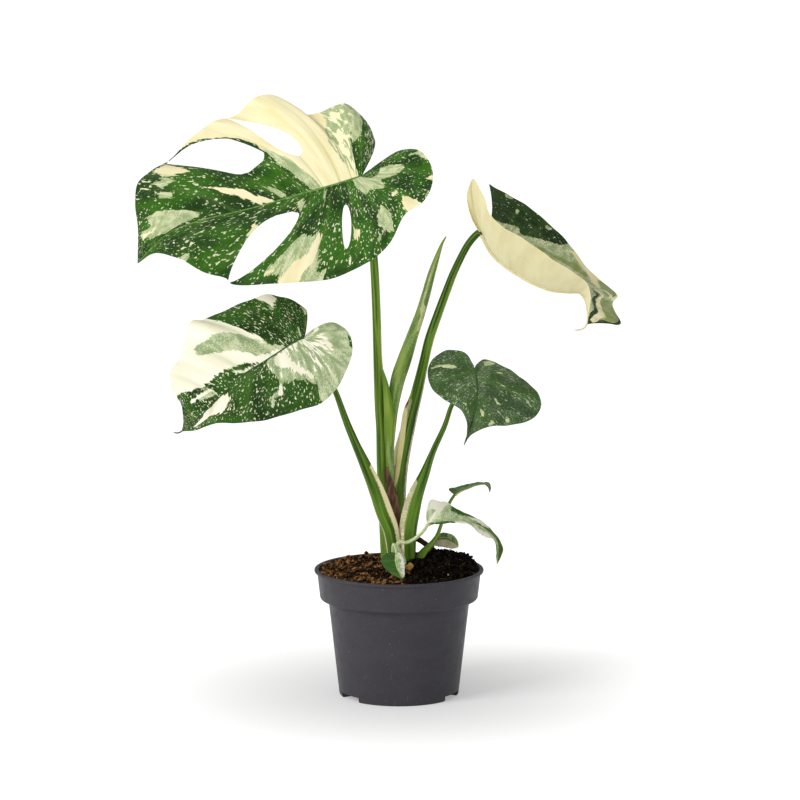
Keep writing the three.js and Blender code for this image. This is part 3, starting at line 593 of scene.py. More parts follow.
@dataclass(frozen=True)
class TissueFinish:
    """Colours and marbling of living tissue, for a face that shows or for an underside."""

    name: str
    dark: Colour = srgb(24, 56, 14)
    bright: Colour = srgb(51, 101, 14)
    clouds: Share = (20.0, 34.0)  # width and length of the greener and the darker areas
    frost: Colour = srgb(112, 130, 92)
    frost_show: float = 0.26
    pale: Colour = srgb(208, 212, 170)
    pale_shade: Colour = srgb(150, 168, 118)
    cream: Colour = srgb(238, 230, 190)
    cream_shade: Colour = srgb(228, 216, 164)
    olive: Colour = srgb(140, 150, 78)
    fleck: Colour = srgb(216, 222, 180)
    streak: Share = (2.2, 11.0)  # width and length of the ragged streaks at a patch's edge
    ragged: float = 7.0  # how far a patch's edge wanders
    fleck_size: Share = (2.1, 2.8)
    fleck_level: float = 0.62  # a lower level gives more flecks
    dash_size: Share = (2.4, 9.0)
    dash_level: float = 0.67
    vein: Colour = srgb(104, 138, 66)
    vein_show: float = 0.32
    roughness: float = 0.4
    sheen: float = 0.1
    subsurface: float = 0.1
    grain: float = 0.12  # depth of the fine relief
    blush: Colour | None = None  # faint blotches on a plain cream face

    def material(self) -> bpy.types.Material:
        """Builds the material.

        Returns:
            The material.
        """
        graph = Graph(self.name)
        along = graph.along()
        place = graph.place()
        streaks = graph.grains(along, (*self.streak, 1), 3)
        wander = (streaks - 0.5) * self.ragged
        wander = wander + (graph.grains(along, (0.9, 1.6, 1)) - 0.5) * min(self.ragged, 1.6)
        fine = graph.grains(along, (0.8, 1.4, 1), 3)
        light = graph.ramp(graph.attribute("light") + wander, -0.25, 0.25)
        cream = graph.ramp(graph.attribute("cream") + wander, -0.3, 0.3)
        pale = graph.mix(cream, self._pale(graph, along, fine, wander), self._cream(graph, along, place))
        colour = graph.mix(light, self._green(graph, along, place, fine), pale)
        colour = graph.mix(graph.attribute("vein") * self.vein_show, colour, self.vein)
        broad = graph.grains(along, (1.6, 5, 1), 2)
        return graph.surface(
            Base_Color=colour,
            Roughness=graph.ramp(broad, 0.3, 0.7, self.roughness - 0.05, self.roughness + 0.06),
            Normal=graph.bump(fine * 0.5 + broad, self.grain),
            Specular_IOR_Level=self.sheen,
            Subsurface_Weight=self.subsurface,
            Subsurface_Radius=(1.0, 1.0, 0.5),
            Subsurface_Scale=0.0012,
        )

    def _green(self, graph: Graph, along: Wire, place: Wire, fine: Wire) -> Wire:
        """Green tissue with frost, flecks, and dashes along the veins.

        Args:
            graph: The material's graph.
            along: Coordinates across and along the veins.
            place: Object coordinates.
            fine: Fine noise.

        Returns:
            The colour.
        """
        clouds = graph.grains(along, (*self.clouds, 1), 3, 0.4)
        green = graph.mix(graph.ramp(clouds, 0.36, 0.66), self.dark, self.bright)
        crowd = graph.grains(place, (13, 13, 13), 2)
        frost = graph.ramp(fine, 0.42, 0.64) * graph.ramp(crowd, 0.36, 0.62, 0.3, 1)
        green = graph.mix(frost * self.frost_show, green, self.frost)
        crowd = graph.ramp(crowd, 0.36, 0.64, -0.025, 0.02)
        flecks = graph.grains(along, (*self.fleck_size, 1), 1.5, 0.4) + crowd
        fleck = graph.ramp(flecks, self.fleck_level, self.fleck_level + 0.05)
        green = graph.mix(fleck * 0.9, green, self.fleck)
        more = graph.ramp(graph.attribute("dash"), -2, 4, 0, 0.1)
        dashes = graph.grains(along, (*self.dash_size, 1), 2, 0.3) + more + crowd
        return graph.mix(graph.ramp(dashes, self.dash_level, self.dash_level + 0.02), green, self.fleck)

    def _pale(self, graph: Graph, along: Wire, fine: Wire, wander: Wire) -> Wire:
        """Pale tissue with a fine mottling, clouds of cream, and olive sectors.

        Args:
            graph: The material's graph.
            along: Coordinates across and along the veins.
            fine: Fine noise.
            wander: How far the edge of a patch is moved.

        Returns:
            The colour.
        """
        soft = graph.grains(along, (5, 12, 1), 3, 0.5)
        pale = graph.mix(graph.ramp(soft + fine, 0.86, 1.16), self.pale_shade, self.pale)
        cloud = graph.ramp(graph.attribute("cloud") * 0.012 + soft, 0.56, 0.6)
        pale = graph.mix(cloud, pale, self.cream)
        olive = graph.mix(graph.ramp(soft, 0.4, 0.6), self.olive, self.pale_shade)
        return graph.mix(graph.ramp(graph.attribute("olive") + wander, -0.3, 0.3), pale, olive)

    def _cream(self, graph: Graph, along: Wire, place: Wire) -> Wire:
        """Nearly plain cream tissue.

        Args:
            graph: The material's graph.
            along: Coordinates across and along the veins.
            place: Object coordinates.

        Returns:
            The colour.
        """
        shade = graph.ramp(graph.grains(along, (10, 36, 1), 2), 0.35, 0.7)
        cream = graph.mix(shade, self.cream, self.cream_shade)
        if not self.blush:
            return cream
        blotch = graph.ramp(graph.grains(place, (14, 9, 14), 3, 1.5), 0.6, 0.74, 0, 0.3)
        return graph.mix(blotch, cream, self.blush)


@dataclass(frozen=True)
class PlainFinish:
    """Two colours blended by noise, with a fine relief."""

    name: str
    first: Colour
    second: Colour
    grain: Point = (3.0, 3.0, 3.0)  # size of the blended patches
    relief: float = 0.2
    relief_size: Point = (0.6, 0.6, 0.6)
    roughness: float = 0.6
    sheen: float = 0.2

    def material(self) -> bpy.types.Material:
        """Builds the material.

        Returns:
            The material.
        """
        graph = Graph(self.name)
        place = graph.place()
        blend = graph.ramp(graph.grains(place, self.grain, 4), 0.38, 0.62)
        return graph.surface(
            Base_Color=graph.mix(blend, self.first, self.second),
            Roughness=self.roughness,
            Specular_IOR_Level=self.sheen,
            Normal=graph.bump(graph.grains(place, self.relief_size, 3), self.relief),
        )


@dataclass(frozen=True)
class SoilFinish:
    """Orange-brown coir at the left that turns into black peat at the right."""

    name: str
    coir: Colour = srgb(104, 74, 42)
    coir_dark: Colour = srgb(14, 10, 7)
    peat: Colour = srgb(28, 20, 15)
    peat_dark: Colour = srgb(7, 5, 4)
    border: Share = (-22.0, 16.0)  # x where the coir begins to end, and where it has ended

    def material(self) -> bpy.types.Material:
        """Builds the material.

        Returns:
            The material.
        """
        graph = Graph(self.name)
        place = graph.place()
        broad = graph.grains(place, (14, 14, 14), 2)
        east = graph.node("ShaderNodeSeparateXYZ", None, {0: place}) + (broad - 0.5) * 0.06
        side = graph.ramp(east, self.border[0] * MM, self.border[1] * MM)
        grains = graph.ramp(graph.grains(place, (2.4, 2.4, 2.4), 3), 0.46, 0.6)
        left = graph.mix(grains, self.coir_dark, self.coir)
        right = graph.mix(grains, self.peat_dark, self.peat)
        return graph.surface(
            Base_Color=graph.mix(side, left, right),
            Roughness=0.95,
            Specular_IOR_Level=0.05,
            Normal=graph.bump(graph.grains(place, (0.7, 0.7, 0.7), 4), 0.8),
        )


@dataclass(frozen=True)
class PotFinish:
    """Dark moulded plastic with a few specks of dust."""

    name: str
    base: Colour = srgb(56, 54, 59)
    worn: Colour = srgb(59, 57, 63)
    dust: Colour = srgb(150, 148, 148)

    def material(self) -> bpy.types.Material:
        """Builds the material.

        Returns:
            The material.
        """
        graph = Graph(self.name)
        place = graph.place()
        haze = graph.ramp(graph.grains(place, (22, 22, 12), 3), 0.4, 0.7)
        specks = graph.ramp(graph.grains(place, (0.8, 0.8, 0.8), 1), 0.74, 0.78)
        colour = graph.mix(specks * 0.6, graph.mix(haze, self.base, self.worn), self.dust)
        rough = graph.ramp(graph.grains(place, (9, 9, 9), 2), 0.35, 0.65, 0.44, 0.52)
        return graph.surface(
            Base_Color=colour,
            Roughness=rough,
            Specular_IOR_Level=0.15,
            Normal=graph.bump(graph.grains(place, (0.5, 0.5, 0.5), 2), 0.04),
        )


Finish = TissueFinish | PlainFinish | SoilFinish | PotFinish


@cache
def material_of(finish: Finish) -> bpy.types.Material:
    """The one material of a finish."""
    return finish.material()


# Blades


@dataclass(frozen=True)
class Cut:
    """A slit or hole that opened like a zip along a vein."""

    at: float  # share of the margin
    start: float  # share of the vein
    end: float
    width: float  # largest opening
    mouth: float  # opening at the end
    blunt: float  # how bluntly it begins, from 0 for square
    taper: float  # the same at its end
    span: float  # share of the margin over which the tissue gives way
    lean: float = 0.0  # how far the opening leans to the sinus side, from 0 to 1

    def opening(self, share: np.ndarray) -> np.ndarray:
        """Width of the opening.

        Args:
            share: Shares of the vein.

        Returns:
            The width at each, in millimetres.
        """
        part = (share - self.start) / (self.end - self.start)
        peak = (self.blunt / (self.blunt + self.taper)) ** self.blunt
        peak *= (self.taper / (self.blunt + self.taper)) ** self.taper
        within = np.clip(part, 0, 1)
        wide = self.width * within**self.blunt * (1 - within) ** self.taper / peak + self.mouth * within
        shut = (part <= 1e-9) | ((part >= 1 - 1e-9) & (self.end < 1))
        return np.where(shut, 0, wide)


@dataclass(frozen=True)
class HalfBlade:
    """One side of a blade: stations along its margin, each with the midrib share of its vein."""

    stations: tuple[tuple[float, float, float, float], ...]
    lift: float  # how far a vein arches upwards, as a share of its length
    sweep: float  # how far it arches towards the tip
    columns: int  # faces along the margin
    rows: int  # faces along a vein
    patches: tuple[Patch, ...] = ()
    cuts: tuple[Cut, ...] = ()
    lobe: tuple[float, float, float] | None = None  # lift and sweep at the sinus, and their reach
    veins: int = 8


@dataclass(frozen=True)
class Relief:
    """Fine form of a blade, in millimetres."""

    groove: float = 0.45  # depth of the lateral veins
    wave: float = 0.9  # height of the margin's slow waves
    puff: float = 0.35  # height of the tissue between two veins
    seed: float = 0.0  # sets the waves of one leaf apart from another's


@dataclass(frozen=True)
class Blade:
    """A leaf blade with its midrib, built from two half blades."""

    name: str  # of the CAD node that the piece replaces
    up: Point  # direction that the upper face looks to
    rib: Share  # radius of the midrib at its foot and at its tip
    midrib: tuple[Point, ...]  # knots from the sinus to the tip
    near: HalfBlade  # on the camera's side
    far: HalfBlade
    finish: TissueFinish
    under: TissueFinish
    rib_finish: PlainFinish
    slot: str = "leaf"
    tail: tuple[Point, ...] = ()  # knots of a thread that the tip ends in
    thickness: float = 0.7
    relief: Relief = Relief()

    PROBE = 0.03  # share of the margin over which the width at a cut is measured
    REACH = 0.8  # largest shift of a cut's edge, as a share of its span
    STEP = 0.004  # share over which a slope is measured
    CHECKS = 41  # veins whose length and normal are averaged
    SPREAD = 0.8  # mean width of a half blade, as a share of its margin
    FADE = (0.7, 0.6)  # how far a groove, and by what power its colour, fades towards the margin
    FINE_VEINS = (4, 0.3)  # fine veins for each lateral vein, and their height beside it
    VEIN_START = 0.35  # steps from vein to vein by which the first one is early
    VEIN_WIDTH = (0.04, 0.06)  # steps at the midrib, and the growth up to the margin
    SINUS = (0.02, 0.1)  # shares of the margin over which the veins begin
    TIP = 0.9  # share of the margin from which the relief dies out
    RIDGE = 1.15  # height of the midrib over the blade's middle, as a share of the thickness
    RIDGE_FACES = (16, 90)  # round the midrib and along it
    RIDGE_WIDTH = 0.9  # width of the midrib, as a share of its height

    @property
    def upward(self) -> np.ndarray:
        """Unit vector that the upper face looks to."""
        return unit(np.array(self.up, float))

    @property
    def onward(self) -> np.ndarray:
        """Unit vector from the sinus to the tip."""
        return unit(np.array(self.midrib[-1], float) - np.array(self.midrib[0], float))

    def build(self) -> bpy.types.Object:
        """Builds the blade.

        Returns:
            The finished piece.
        """
        halves = [self._half(half, shift) for shift, half in enumerate((self.near, self.far))]
        sheet = joined(halves, f"{self.name}_fine")
        for finish in (self.finish, self.under, self.rib_finish):
            sheet.data.materials.append(material_of(finish))
        apply_modifier(
            sheet, "SOLIDIFY", thickness=self.thickness * MM, offset=0, material_offset=1
        )
        whole = joined([sheet, self._ridge()], f"{self.name}_fine")
        smooth(whole, 50)
        hand_over(whole, self.slot, self.name)
        return whole

    def _surface(self, half: HalfBlade, margin: Rail) -> Surface:
        """Describes a half blade by the curves of its veins.

        Args:
            half: The half blade.
            margin: Its margin.

        Returns:
            A function from shares of the margin and of the vein to points in millimetres.
        """
        midrib = np.array(self.midrib, float)
        upward, onward = self.upward, self.onward
        feet = np.array([station[:1] for station in half.stations])
        lobe_lift, lobe_sweep, reach = half.lobe or (half.lift, half.sweep, 1.0)

        def point(at: np.ndarray, share: np.ndarray) -> np.ndarray:
            """Works out points of the surface.

            Args:
                at: Shares of the margin.
                share: Shares of the vein.

            Returns:
                One point for each pair, in millimetres.
            """
            place = margin.knot_place(at)
            edge = curve_points(margin.knots, place)
            foot = np.clip(curve_points(feet, place)[..., 0], 0, 1)
            root = curve_points(midrib, foot * (len(midrib) - 1))
            length = np.linalg.norm(edge - root, axis=-1, keepdims=True)
            blend = smoothstep(0, reach, at)[..., None]
            lift = lobe_lift + (half.lift - lobe_lift) * blend
            sweep = lobe_sweep + (half.sweep - lobe_sweep) * blend
            bow = (root + edge) / 2 + lift * length * upward + sweep * length * onward
            part = share[..., None]
            return (1 - part) ** 2 * root + 2 * part * (1 - part) * bow + part**2 * edge

        return point

    def _half(self, half: HalfBlade, shift: int) -> bpy.types.Object:
        """Builds one half, from a panel on each side of every cut.

        Args:
            half: The half blade.
            shift: Metres that its marbling is set apart by.

        Returns:
            The half's sheet.
        """
        margin = Rail(station[1:] for station in half.stations)
        surface = self._surface(half, margin)
        shares = np.linspace(0, 1, self.CHECKS)
        veins = surface(shares, np.ones(self.CHECKS)) - surface(shares, np.zeros(self.CHECKS))
        size = (margin.length * self.SPREAD, float(np.linalg.norm(veins, axis=1).mean()))
        middle = self._normals(surface, shares, np.full(self.CHECKS, 0.5))
        turn = np.sign((middle @ self.upward).mean())
        rows = np.linspace(0, 1, half.rows + 1)
        for end in (end for cut in half.cuts for end in (cut.start, cut.end) if end < 1):
            rows[int(np.clip(round(end * half.rows), 1, half.rows - 1))] = end
        edges = [0.0, *(cut.at for cut in half.cuts), 1.0]
        panels = []
        for low, high in zip(edges, edges[1:]):
            panel = unit_grid(max(4, round(half.columns * (high - low))), half.rows)
            grid = read_points(panel)
            at = low + grid[:, 0] * (high - low)
            share = rows[np.rint(grid[:, 1] * half.rows).astype(int)]
            moved = self._given_way(half, surface, at, share, low, high)
            vein = self._veins(half, moved, share)
            groove = self.relief.groove * vein * (1 - self.FADE[0] * share)
            height = self._waves(half, moved, share) - groove
            normal = self._normals(surface, moved, share) * turn
            write_points(panel, (surface(moved, share) + normal * height[:, None]) * MM)
            write_uv(panel, moved * size[0] * MM + shift, share * size[1] * MM)
            write_field(panel, "vein", vein * (1 - share) ** self.FADE[1])
            Tissue(half.patches, size).paint(panel, moved, share)
            panels.append(panel)
        whole = joined(panels, self.name)
        edit(whole, weld, *([bpy.ops.mesh.flip_normals] if turn < 0 else []))
        return whole

    def _given_way(
        self,
        half: HalfBlade,
        surface: Surface,
        at: np.ndarray,
        share: np.ndarray,
        low: float,
        high: float,
    ) -> np.ndarray:
        """Moves the tissue beside each cut aside.

        Args:
            half: The half blade.
            surface: Its surface.
            at: Shares of the margin.
            share: Shares of the vein.
            low: Margin share where the panel begins.
            high: Margin share where it ends.

        Returns:
            The new shares of the margin.
        """
        moved = at.copy()
        for cut in half.cuts:
            probe = np.full_like(share, cut.at)
            wide = surface(probe + self.PROBE, share) - surface(probe - self.PROBE, share)
            per_share = np.linalg.norm(wide, axis=1) / (2 * self.PROBE)
            side = 1.0 if (low + high) / 2 > cut.at else -1.0
            reach = cut.opening(share) / 2 / per_share * (1 - side * cut.lean)
            near = np.clip(1 - np.abs(at - cut.at) / cut.span, 0, 1)
            moved += side * np.minimum(reach, cut.span * self.REACH) * near
        return moved

    def _normals(self, surface: Surface, at: np.ndarray, share: np.ndarray) -> np.ndarray:
        """Measures the normals of a surface.

        Args:
            surface: The surface.
            at: Shares of the margin.
            share: Shares of the vein.

        Returns:
            One unit vector for each pair of shares.
        """
        inner = np.clip(share, 0.05, 1 - self.STEP)
        place = np.clip(at, self.STEP, 1 - self.STEP)
        across = surface(place + self.STEP, inner) - surface(place - self.STEP, inner)
        outward = surface(place, inner + self.STEP) - surface(place, inner - self.STEP)
        return unit(np.cross(across, outward))

    def _veins(self, half: HalfBlade, at: np.ndarray, share: np.ndarray) -> np.ndarray:
        """Tells how near each point lies to a lateral vein.

        Args:
            half: The half blade.
            at: Shares of the margin.
            share: Shares of the vein.

        Returns:
            Numbers from 0 to 1, which is on a vein.
        """
        total = np.zeros_like(at)
        finer, low = self.FINE_VEINS
        width = self.VEIN_WIDTH[0] + self.VEIN_WIDTH[1] * share
        for count, weight in ((half.veins, 1.0), (half.veins * finer, low)):
            phase = (at * count + self.VEIN_START) % 1 - 0.5
            total = np.maximum(total, weight * np.exp(-((phase / width) ** 2)))
        return total * smoothstep(*self.SINUS, at) * (1 - smoothstep(self.TIP, 1, at))

    def _waves(self, half: HalfBlade, at: np.ndarray, share: np.ndarray) -> np.ndarray:
        """Slow waves that grow towards the margin, and puffed tissue between the veins.

        Args:
            half: The half blade.
            at: Shares of the margin.
            share: Shares of the vein.

        Returns:
            Heights in millimetres.
        """
        turn = 2 * np.pi * at
        seed = self.relief.seed
        broad = np.sin(turn * 5 + seed)
        small = np.sin(turn * 11 + 2 * seed + 3 * share)
        slow = 0.6 * broad + 0.4 * small
        step = at * half.veins + self.VEIN_START - 0.5
        puff = np.sin(np.pi * share) * np.abs(np.sin(np.pi * step))
        flat = 1 - smoothstep(self.TIP, 1, at)
        return (self.relief.wave * slow * share**2 + self.relief.puff * puff) * flat

    def _ridge(self) -> bpy.types.Object:
        """Builds the midrib as a tapering round ridge that shows on both faces.

        Returns:
            The ridge, closed at both ends.
        """
        rail = Rail([*self.midrib, *self.tail])
        ridge = unit_grid(*self.RIDGE_FACES)
        grid = read_points(ridge)
        share = grid[:, 1]
        radius = self.rib[0] + (self.rib[1] - self.rib[0]) * share
        radius *= np.clip((1.004 - share) * 40, 0.12, 1)  # blunt point in the last fortieth
        centre = rail.point(share)
        tangent = rail.tangent(share, 0.005)
        side = unit(np.cross(tangent, self.upward))
        rise = np.cross(side, tangent)
        angle = grid[:, 0] * 2 * np.pi
        sunk = radius - self.thickness * self.RIDGE
        offset = side * (radius * np.sin(angle) * self.RIDGE_WIDTH)[:, None]
        offset += rise * (-radius * np.cos(angle) - sunk)[:, None]
        write_points(ridge, (centre + offset) * MM)
        edit(ridge, weld, close_ends, outwards)
        ridge.data.materials.append(material_of(self.rib_finish))
        return ridge


# Stalks


@dataclass(frozen=True)
class Stalk:
    """A stalk, root or rolled leaf along rows of x, y, z, width, depth, left and right wing.

    A row without wings ends with the depth.
    """

    name: str
    slot: str
    finish: TissueFinish | PlainFinish
    rows: tuple[tuple[float, ...], ...]
    curl: float = 0.0  # how far the wings bend back
    rings: int = 150
    sides: int = 48
    patches: tuple[Patch, ...] = ()
    lump: float = 0.0  # height of lumps
    lump_size: float = 4.0
    lip: float = 0.0  # step of a rolled edge, as a share of the radius
    turns: float = 0.0  # turns of the rolled edge over the length
    grooves: int = 0  # fine lengthwise furrows
    added: bool = False  # stands for no CAD node

    WING_EDGE = 0.4  # half the thickness of a wing
    WING_THIN = 1.5  # width from which a wing is as thin as that
    WING_FORM = 6  # power by which a wing stands out from the round
    FURROW = 0.12  # depth of a furrow
    SEAM = 6.0  # radius on which the lumps are read, so that they meet at the seam

    def build(self) -> bpy.types.Object:
        """Builds the stalk.

        Returns:
            The finished piece.
        """
        tube = unit_grid(self.sides, self.rings)
        grid = read_points(tube)
        rows = np.array([(*row, 0, 0)[:7] for row in self.rows], float)
        rail = Rail(rows[:, :3])
        share = grid[:, 1]
        place = rail.knot_place(share)
        centre = curve_points(rail.knots, place)
        tangent = rail.tangent(share)
        side = unit(np.array([1.0, 0, 0]) - tangent * tangent[:, :1])
        back = np.cross(tangent, side)
        across, deep = self._section(grid[:, 0], share, rows, place)
        points = centre + side * across[:, None] + back * deep[:, None]
        if self.lump:
            outward = unit(points - centre)
            turn = grid[:, 0] * 2 * np.pi
            ring = np.column_stack([np.cos(turn), np.sin(turn)]) * self.SEAM
            spots = np.column_stack([ring, share * rail.length])
            points += outward * (self.lump * lumps(spots, self.lump_size, len(self.name)))[:, None]
        write_points(tube, points * MM)
        girth = float(rows[:, 3].mean() * np.pi)
        write_uv(tube, grid[:, 0] * girth * MM, share * rail.length * MM)
        write_field(tube, "vein", np.zeros(len(grid)))
        Tissue(self.patches, (girth, rail.length)).paint(tube, grid[:, 0], share)
        tube.name = tube.data.name = f"{self.name}_fine"
        edit(tube, weld, close_ends, outwards)
        tube.data.materials.append(material_of(self.finish))
        smooth(tube, 55)
        hand_over(tube, self.slot, *(() if self.added else (self.name,)))
        return tube

    def _section(
        self, turn: np.ndarray, share: np.ndarray, rows: np.ndarray, place: np.ndarray
    ) -> tuple[np.ndarray, np.ndarray]:
        """Works out the section of the stalk.

        Args:
            turn: Turns round the stalk, 0 at its back, 0.25 at its left and 0.5 at its front.
            share: Shares of its length.
            rows: The stalk's rows.
            place: Places along the rows, counted in rows.

        Returns:
            Millimetres to the right and to the back, from the stalk's middle.
        """
        girth = curve_points(rows[:, 3:5], place) / 2
        wings = np.maximum(curve_points(rows[:, 5:7], place), 0)
        angle = 2 * np.pi * turn + np.pi / 2
        scale = 1 + self.lip * ((turn - self.turns * share) % 1)
        if self.grooves:
            scale = scale - self.FURROW / girth[:, 0] * np.cos(angle * self.grooves) ** 2
        across = girth[:, 0] * np.cos(angle) * scale
        deep = girth[:, 1] * np.sin(angle) * scale
        rim = self.WING_EDGE * np.clip(np.sin(angle) / 0.2, -1, 1)
        for wing, way in ((wings[:, 1], 1), (wings[:, 0], -1)):
            edge = np.clip(way * np.cos(angle), 0, None) ** self.WING_FORM
            thin = edge * np.clip(wing / self.WING_THIN, 0, 1)
            across = across + way * wing * edge
            deep = deep * (1 - thin) + rim * thin + wing * self.curl * edge
        return across, deep


# Pot


@dataclass(frozen=True)
class Pot:
    """A thin-walled nursery pot with a rim, a stepped collar, feet and drain holes."""

    node: str = "pot"
    sides: int = 192
    wall: float = 1.5
    floor: float = 1.9
    base_radius: float = 53.1
    # Radius and height of the outline, from the foot over the lip down to the floor
    outline: tuple[Share, ...] = (
        (52.2, 0.0), (53.1, 1.2), (62.5, 84.6), (62.9, 85.6), (69.3, 87.0), (70.0, 88.0),
        (72.5, 110.2), (74.6, 110.6), (75.0, 111.1), (75.0, 112.5), (74.6, 113.0), (71.6, 113.0),
        (71.1, 112.5), (68.6, 89.5), (61.2, 86.5), (51.8, 1.9),
    )
    drain_angles: Point = (94, 214, 334)
    drain_width: float = 26.0
    drain_height: float = 4.7
    drain_start: float = 22.0  # from the pot's middle
    drain_end: float = 76.0
    hole_radius: float = 4.0
    hole_at: float = 42.0  # from the pot's middle
    hole_sides: int = 40
    bevel: float = 0.35
    tool: float = 100.0  # length of a tool that cuts right through

    def build(self) -> bpy.types.Object:
        """Builds the pot.

        Returns:
            The finished piece.
        """
        shell = self._turned()
        wall = self.wall
        width, height, start = self.drain_width, self.drain_height, self.drain_start
        housings = self._boxes(
            width + 2 * wall, height + wall, start - wall, self.base_radius, -self.floor / 2
        )
        bpy.ops.mesh.primitive_cylinder_add(
            vertices=self.sides, radius=(self.base_radius - wall / 2) * MM, depth=self.tool * MM
        )
        combine(housings, bpy.context.object, "INTERSECT")
        combine(shell, housings, "UNION")
        channels = self._boxes(width, height, start, self.drain_end, 1)
        combine(shell, channels, "DIFFERENCE")
        combine(shell, self._drills(), "DIFFERENCE")
        shell.name = shell.data.name = "pot_fine"
        shell.data.materials.clear()
        shell.data.materials.append(material_of(PotFinish("pot plastic")))
        smooth(shell, 35)
        hand_over(shell, "pot", self.node)
        return shell

    def _turned(self) -> bpy.types.Object:
        """Extrudes the shell ring by ring from a circle.

        Returns:
            The shell with its edges bevelled.
        """
        radius, height = self.outline[0]
        bpy.ops.object.select_all(action="DESELECT")
        bpy.ops.mesh.primitive_circle_add(
            vertices=self.sides, radius=radius * MM, location=(0, 0, height * MM)
        )
        bpy.ops.object.transform_apply(location=True)
        shell = bpy.context.object
        bpy.ops.object.mode_set(mode="EDIT")
        bpy.ops.mesh.select_all(action="SELECT")
        for next_radius, next_height in self.outline[1:]:
            rise = (0, 0, (next_height - height) * MM)
            bpy.ops.mesh.extrude_edges_move(TRANSFORM_OT_translate={"value": rise})
            grow = next_radius / radius
            bpy.ops.transform.resize(value=(grow, grow, 1), center_override=(0, 0, 0))
            radius, height = next_radius, next_height
        bpy.ops.mesh.select_all(action="SELECT")
        close_ends()
        bpy.ops.mesh.select_all(action="SELECT")
        outwards()
        bpy.ops.object.mode_set(mode="OBJECT")
        apply_modifier(
            shell, "BEVEL", width=self.bevel * MM, segments=2, limit_method="ANGLE",
            angle_limit=math.radians(18),
        )
        return shell

    def _boxes(
        self, width: float, height: float, start: float, end: float, below: float
    ) -> bpy.types.Object:
        """Sets a box at each drain channel.

        Args:
            width: Width of a box.
            height: How far it reaches up.
            start: Where it begins, from the pot's middle.
            end: Where it ends.
            below: How far it reaches down.

        Returns:
            The boxes in one object.
        """
        boxes = []
        for degrees in self.drain_angles:
            angle = math.radians(degrees)
            middle = (start + end) / 2 * MM
            level = (height - below) / 2 * MM
            bpy.ops.mesh.primitive_cube_add(
                size=1,
                location=(middle * math.cos(angle), middle * math.sin(angle), level),
                rotation=(0, 0, angle),
                scale=((end - start) * MM, width * MM, (height + below) * MM),
            )
            boxes.append(bpy.context.object)
        return joined(boxes, "drain_boxes")

    def _drills(self) -> bpy.types.Object:
        """Sets a cylinder through the roof of each drain channel.

        Returns:
            The cylinders in one object.
        """
        drills = []
        for degrees in self.drain_angles:
            angle = math.radians(degrees)
            bpy.ops.mesh.primitive_cylinder_add(
                vertices=self.hole_sides,
                radius=self.hole_radius * MM,
                depth=4 * self.drain_height * MM,
                location=(self.hole_at * math.cos(angle) * MM, self.hole_at * math.sin(angle) * MM, 0),
            )
            drills.append(bpy.context.object)
        return joined(drills, "drain_drills")


def combine(obj: bpy.types.Object, other: bpy.types.Object, operation: str) -> None:
    """Applies a Boolean with another object, which is then removed."""
    apply_modifier(obj, "BOOLEAN", object=other, operation=operation, solver="EXACT")
    bpy.data.objects.remove(other, do_unlink=True)


# Soil


@dataclass(frozen=True)
class Mound:
    """A gentle rise of the soil."""

    x: float
    y: float
    height: float
    spread_x: float
    spread_y: float


@dataclass(frozen=True)
class Soil:
    """Potting soil: the lumpy body that fills the pot."""

    node: str = "soil"
    level: float = 110.6  # height of the surface beside the wall
    mounds: tuple[Mound, ...] = (Mound(4, -10, 8.5, 20, 20), Mound(40, 16, 12.5, 22, 24))
    # Radius and height inside the pot
    wall_rings: tuple[Share, ...] = ((51.8, 6.6), (60.8, 86.6), (68.2, 89.9))
    top_radius: float = 70.4
    even: float = 3.0  # width of the border without lumps
    innermost: float = 0.004  # smallest ring, as a share of the largest
    sides: int = 240
    rings: int = 84
    clods: tuple[Share, ...] = ((9.0, 1.8), (4.4, 1.8), (1.9, 0.9))  # size and height

    def height(self, x: np.ndarray, y: np.ndarray) -> np.ndarray:
        """Works out the soil's surface without its lumps.

        Args:
            x: Millimetres to the right.
            y: Millimetres to the back.

        Returns:
            Its heights in millimetres.
        """
        total = np.full_like(x, self.level, dtype=float)
        for mound in self.mounds:
            spread = ((x - mound.x) / mound.spread_x) ** 2 + ((y - mound.y) / mound.spread_y) ** 2
            total += mound.height * np.exp(-spread / 2)
        return total

    def build(self) -> bpy.types.Object:
        """Builds the solid body with its lumpy surface.

        Returns:
            The finished piece.
        """
        radii = [radius for radius, _ in self.wall_rings]
        radii += list(self.top_radius * np.linspace(1, self.innermost, self.rings))
        body = unit_grid(self.sides, len(radii) - 1)
        grid = read_points(body)
        ring = np.rint(grid[:, 1] * (len(radii) - 1)).astype(int)
        radius = np.array(radii)[ring]
        angle = grid[:, 0] * 2 * np.pi
        x, y = radius * np.cos(angle), radius * np.sin(angle)
        z = self.height(x, y)
        inner = smoothstep(self.top_radius, self.top_radius - self.even, radius)
        spots = np.column_stack([x, y, np.zeros_like(x)])
        for seed, (size, tall) in enumerate(self.clods):
            z += inner * tall * lumps(spots, size, seed)
        for index, (_, level) in enumerate(self.wall_rings):
            z[ring == index] = level
        write_points(body, np.column_stack([x, y, z]) * MM)
        body.name = body.data.name = "soil_fine"
        edit(body, weld, close_ends, outwards)
        body.data.materials.append(material_of(SoilFinish("soil")))
        smooth(body, 80)
        hand_over(body, "soil", self.node)
        return body


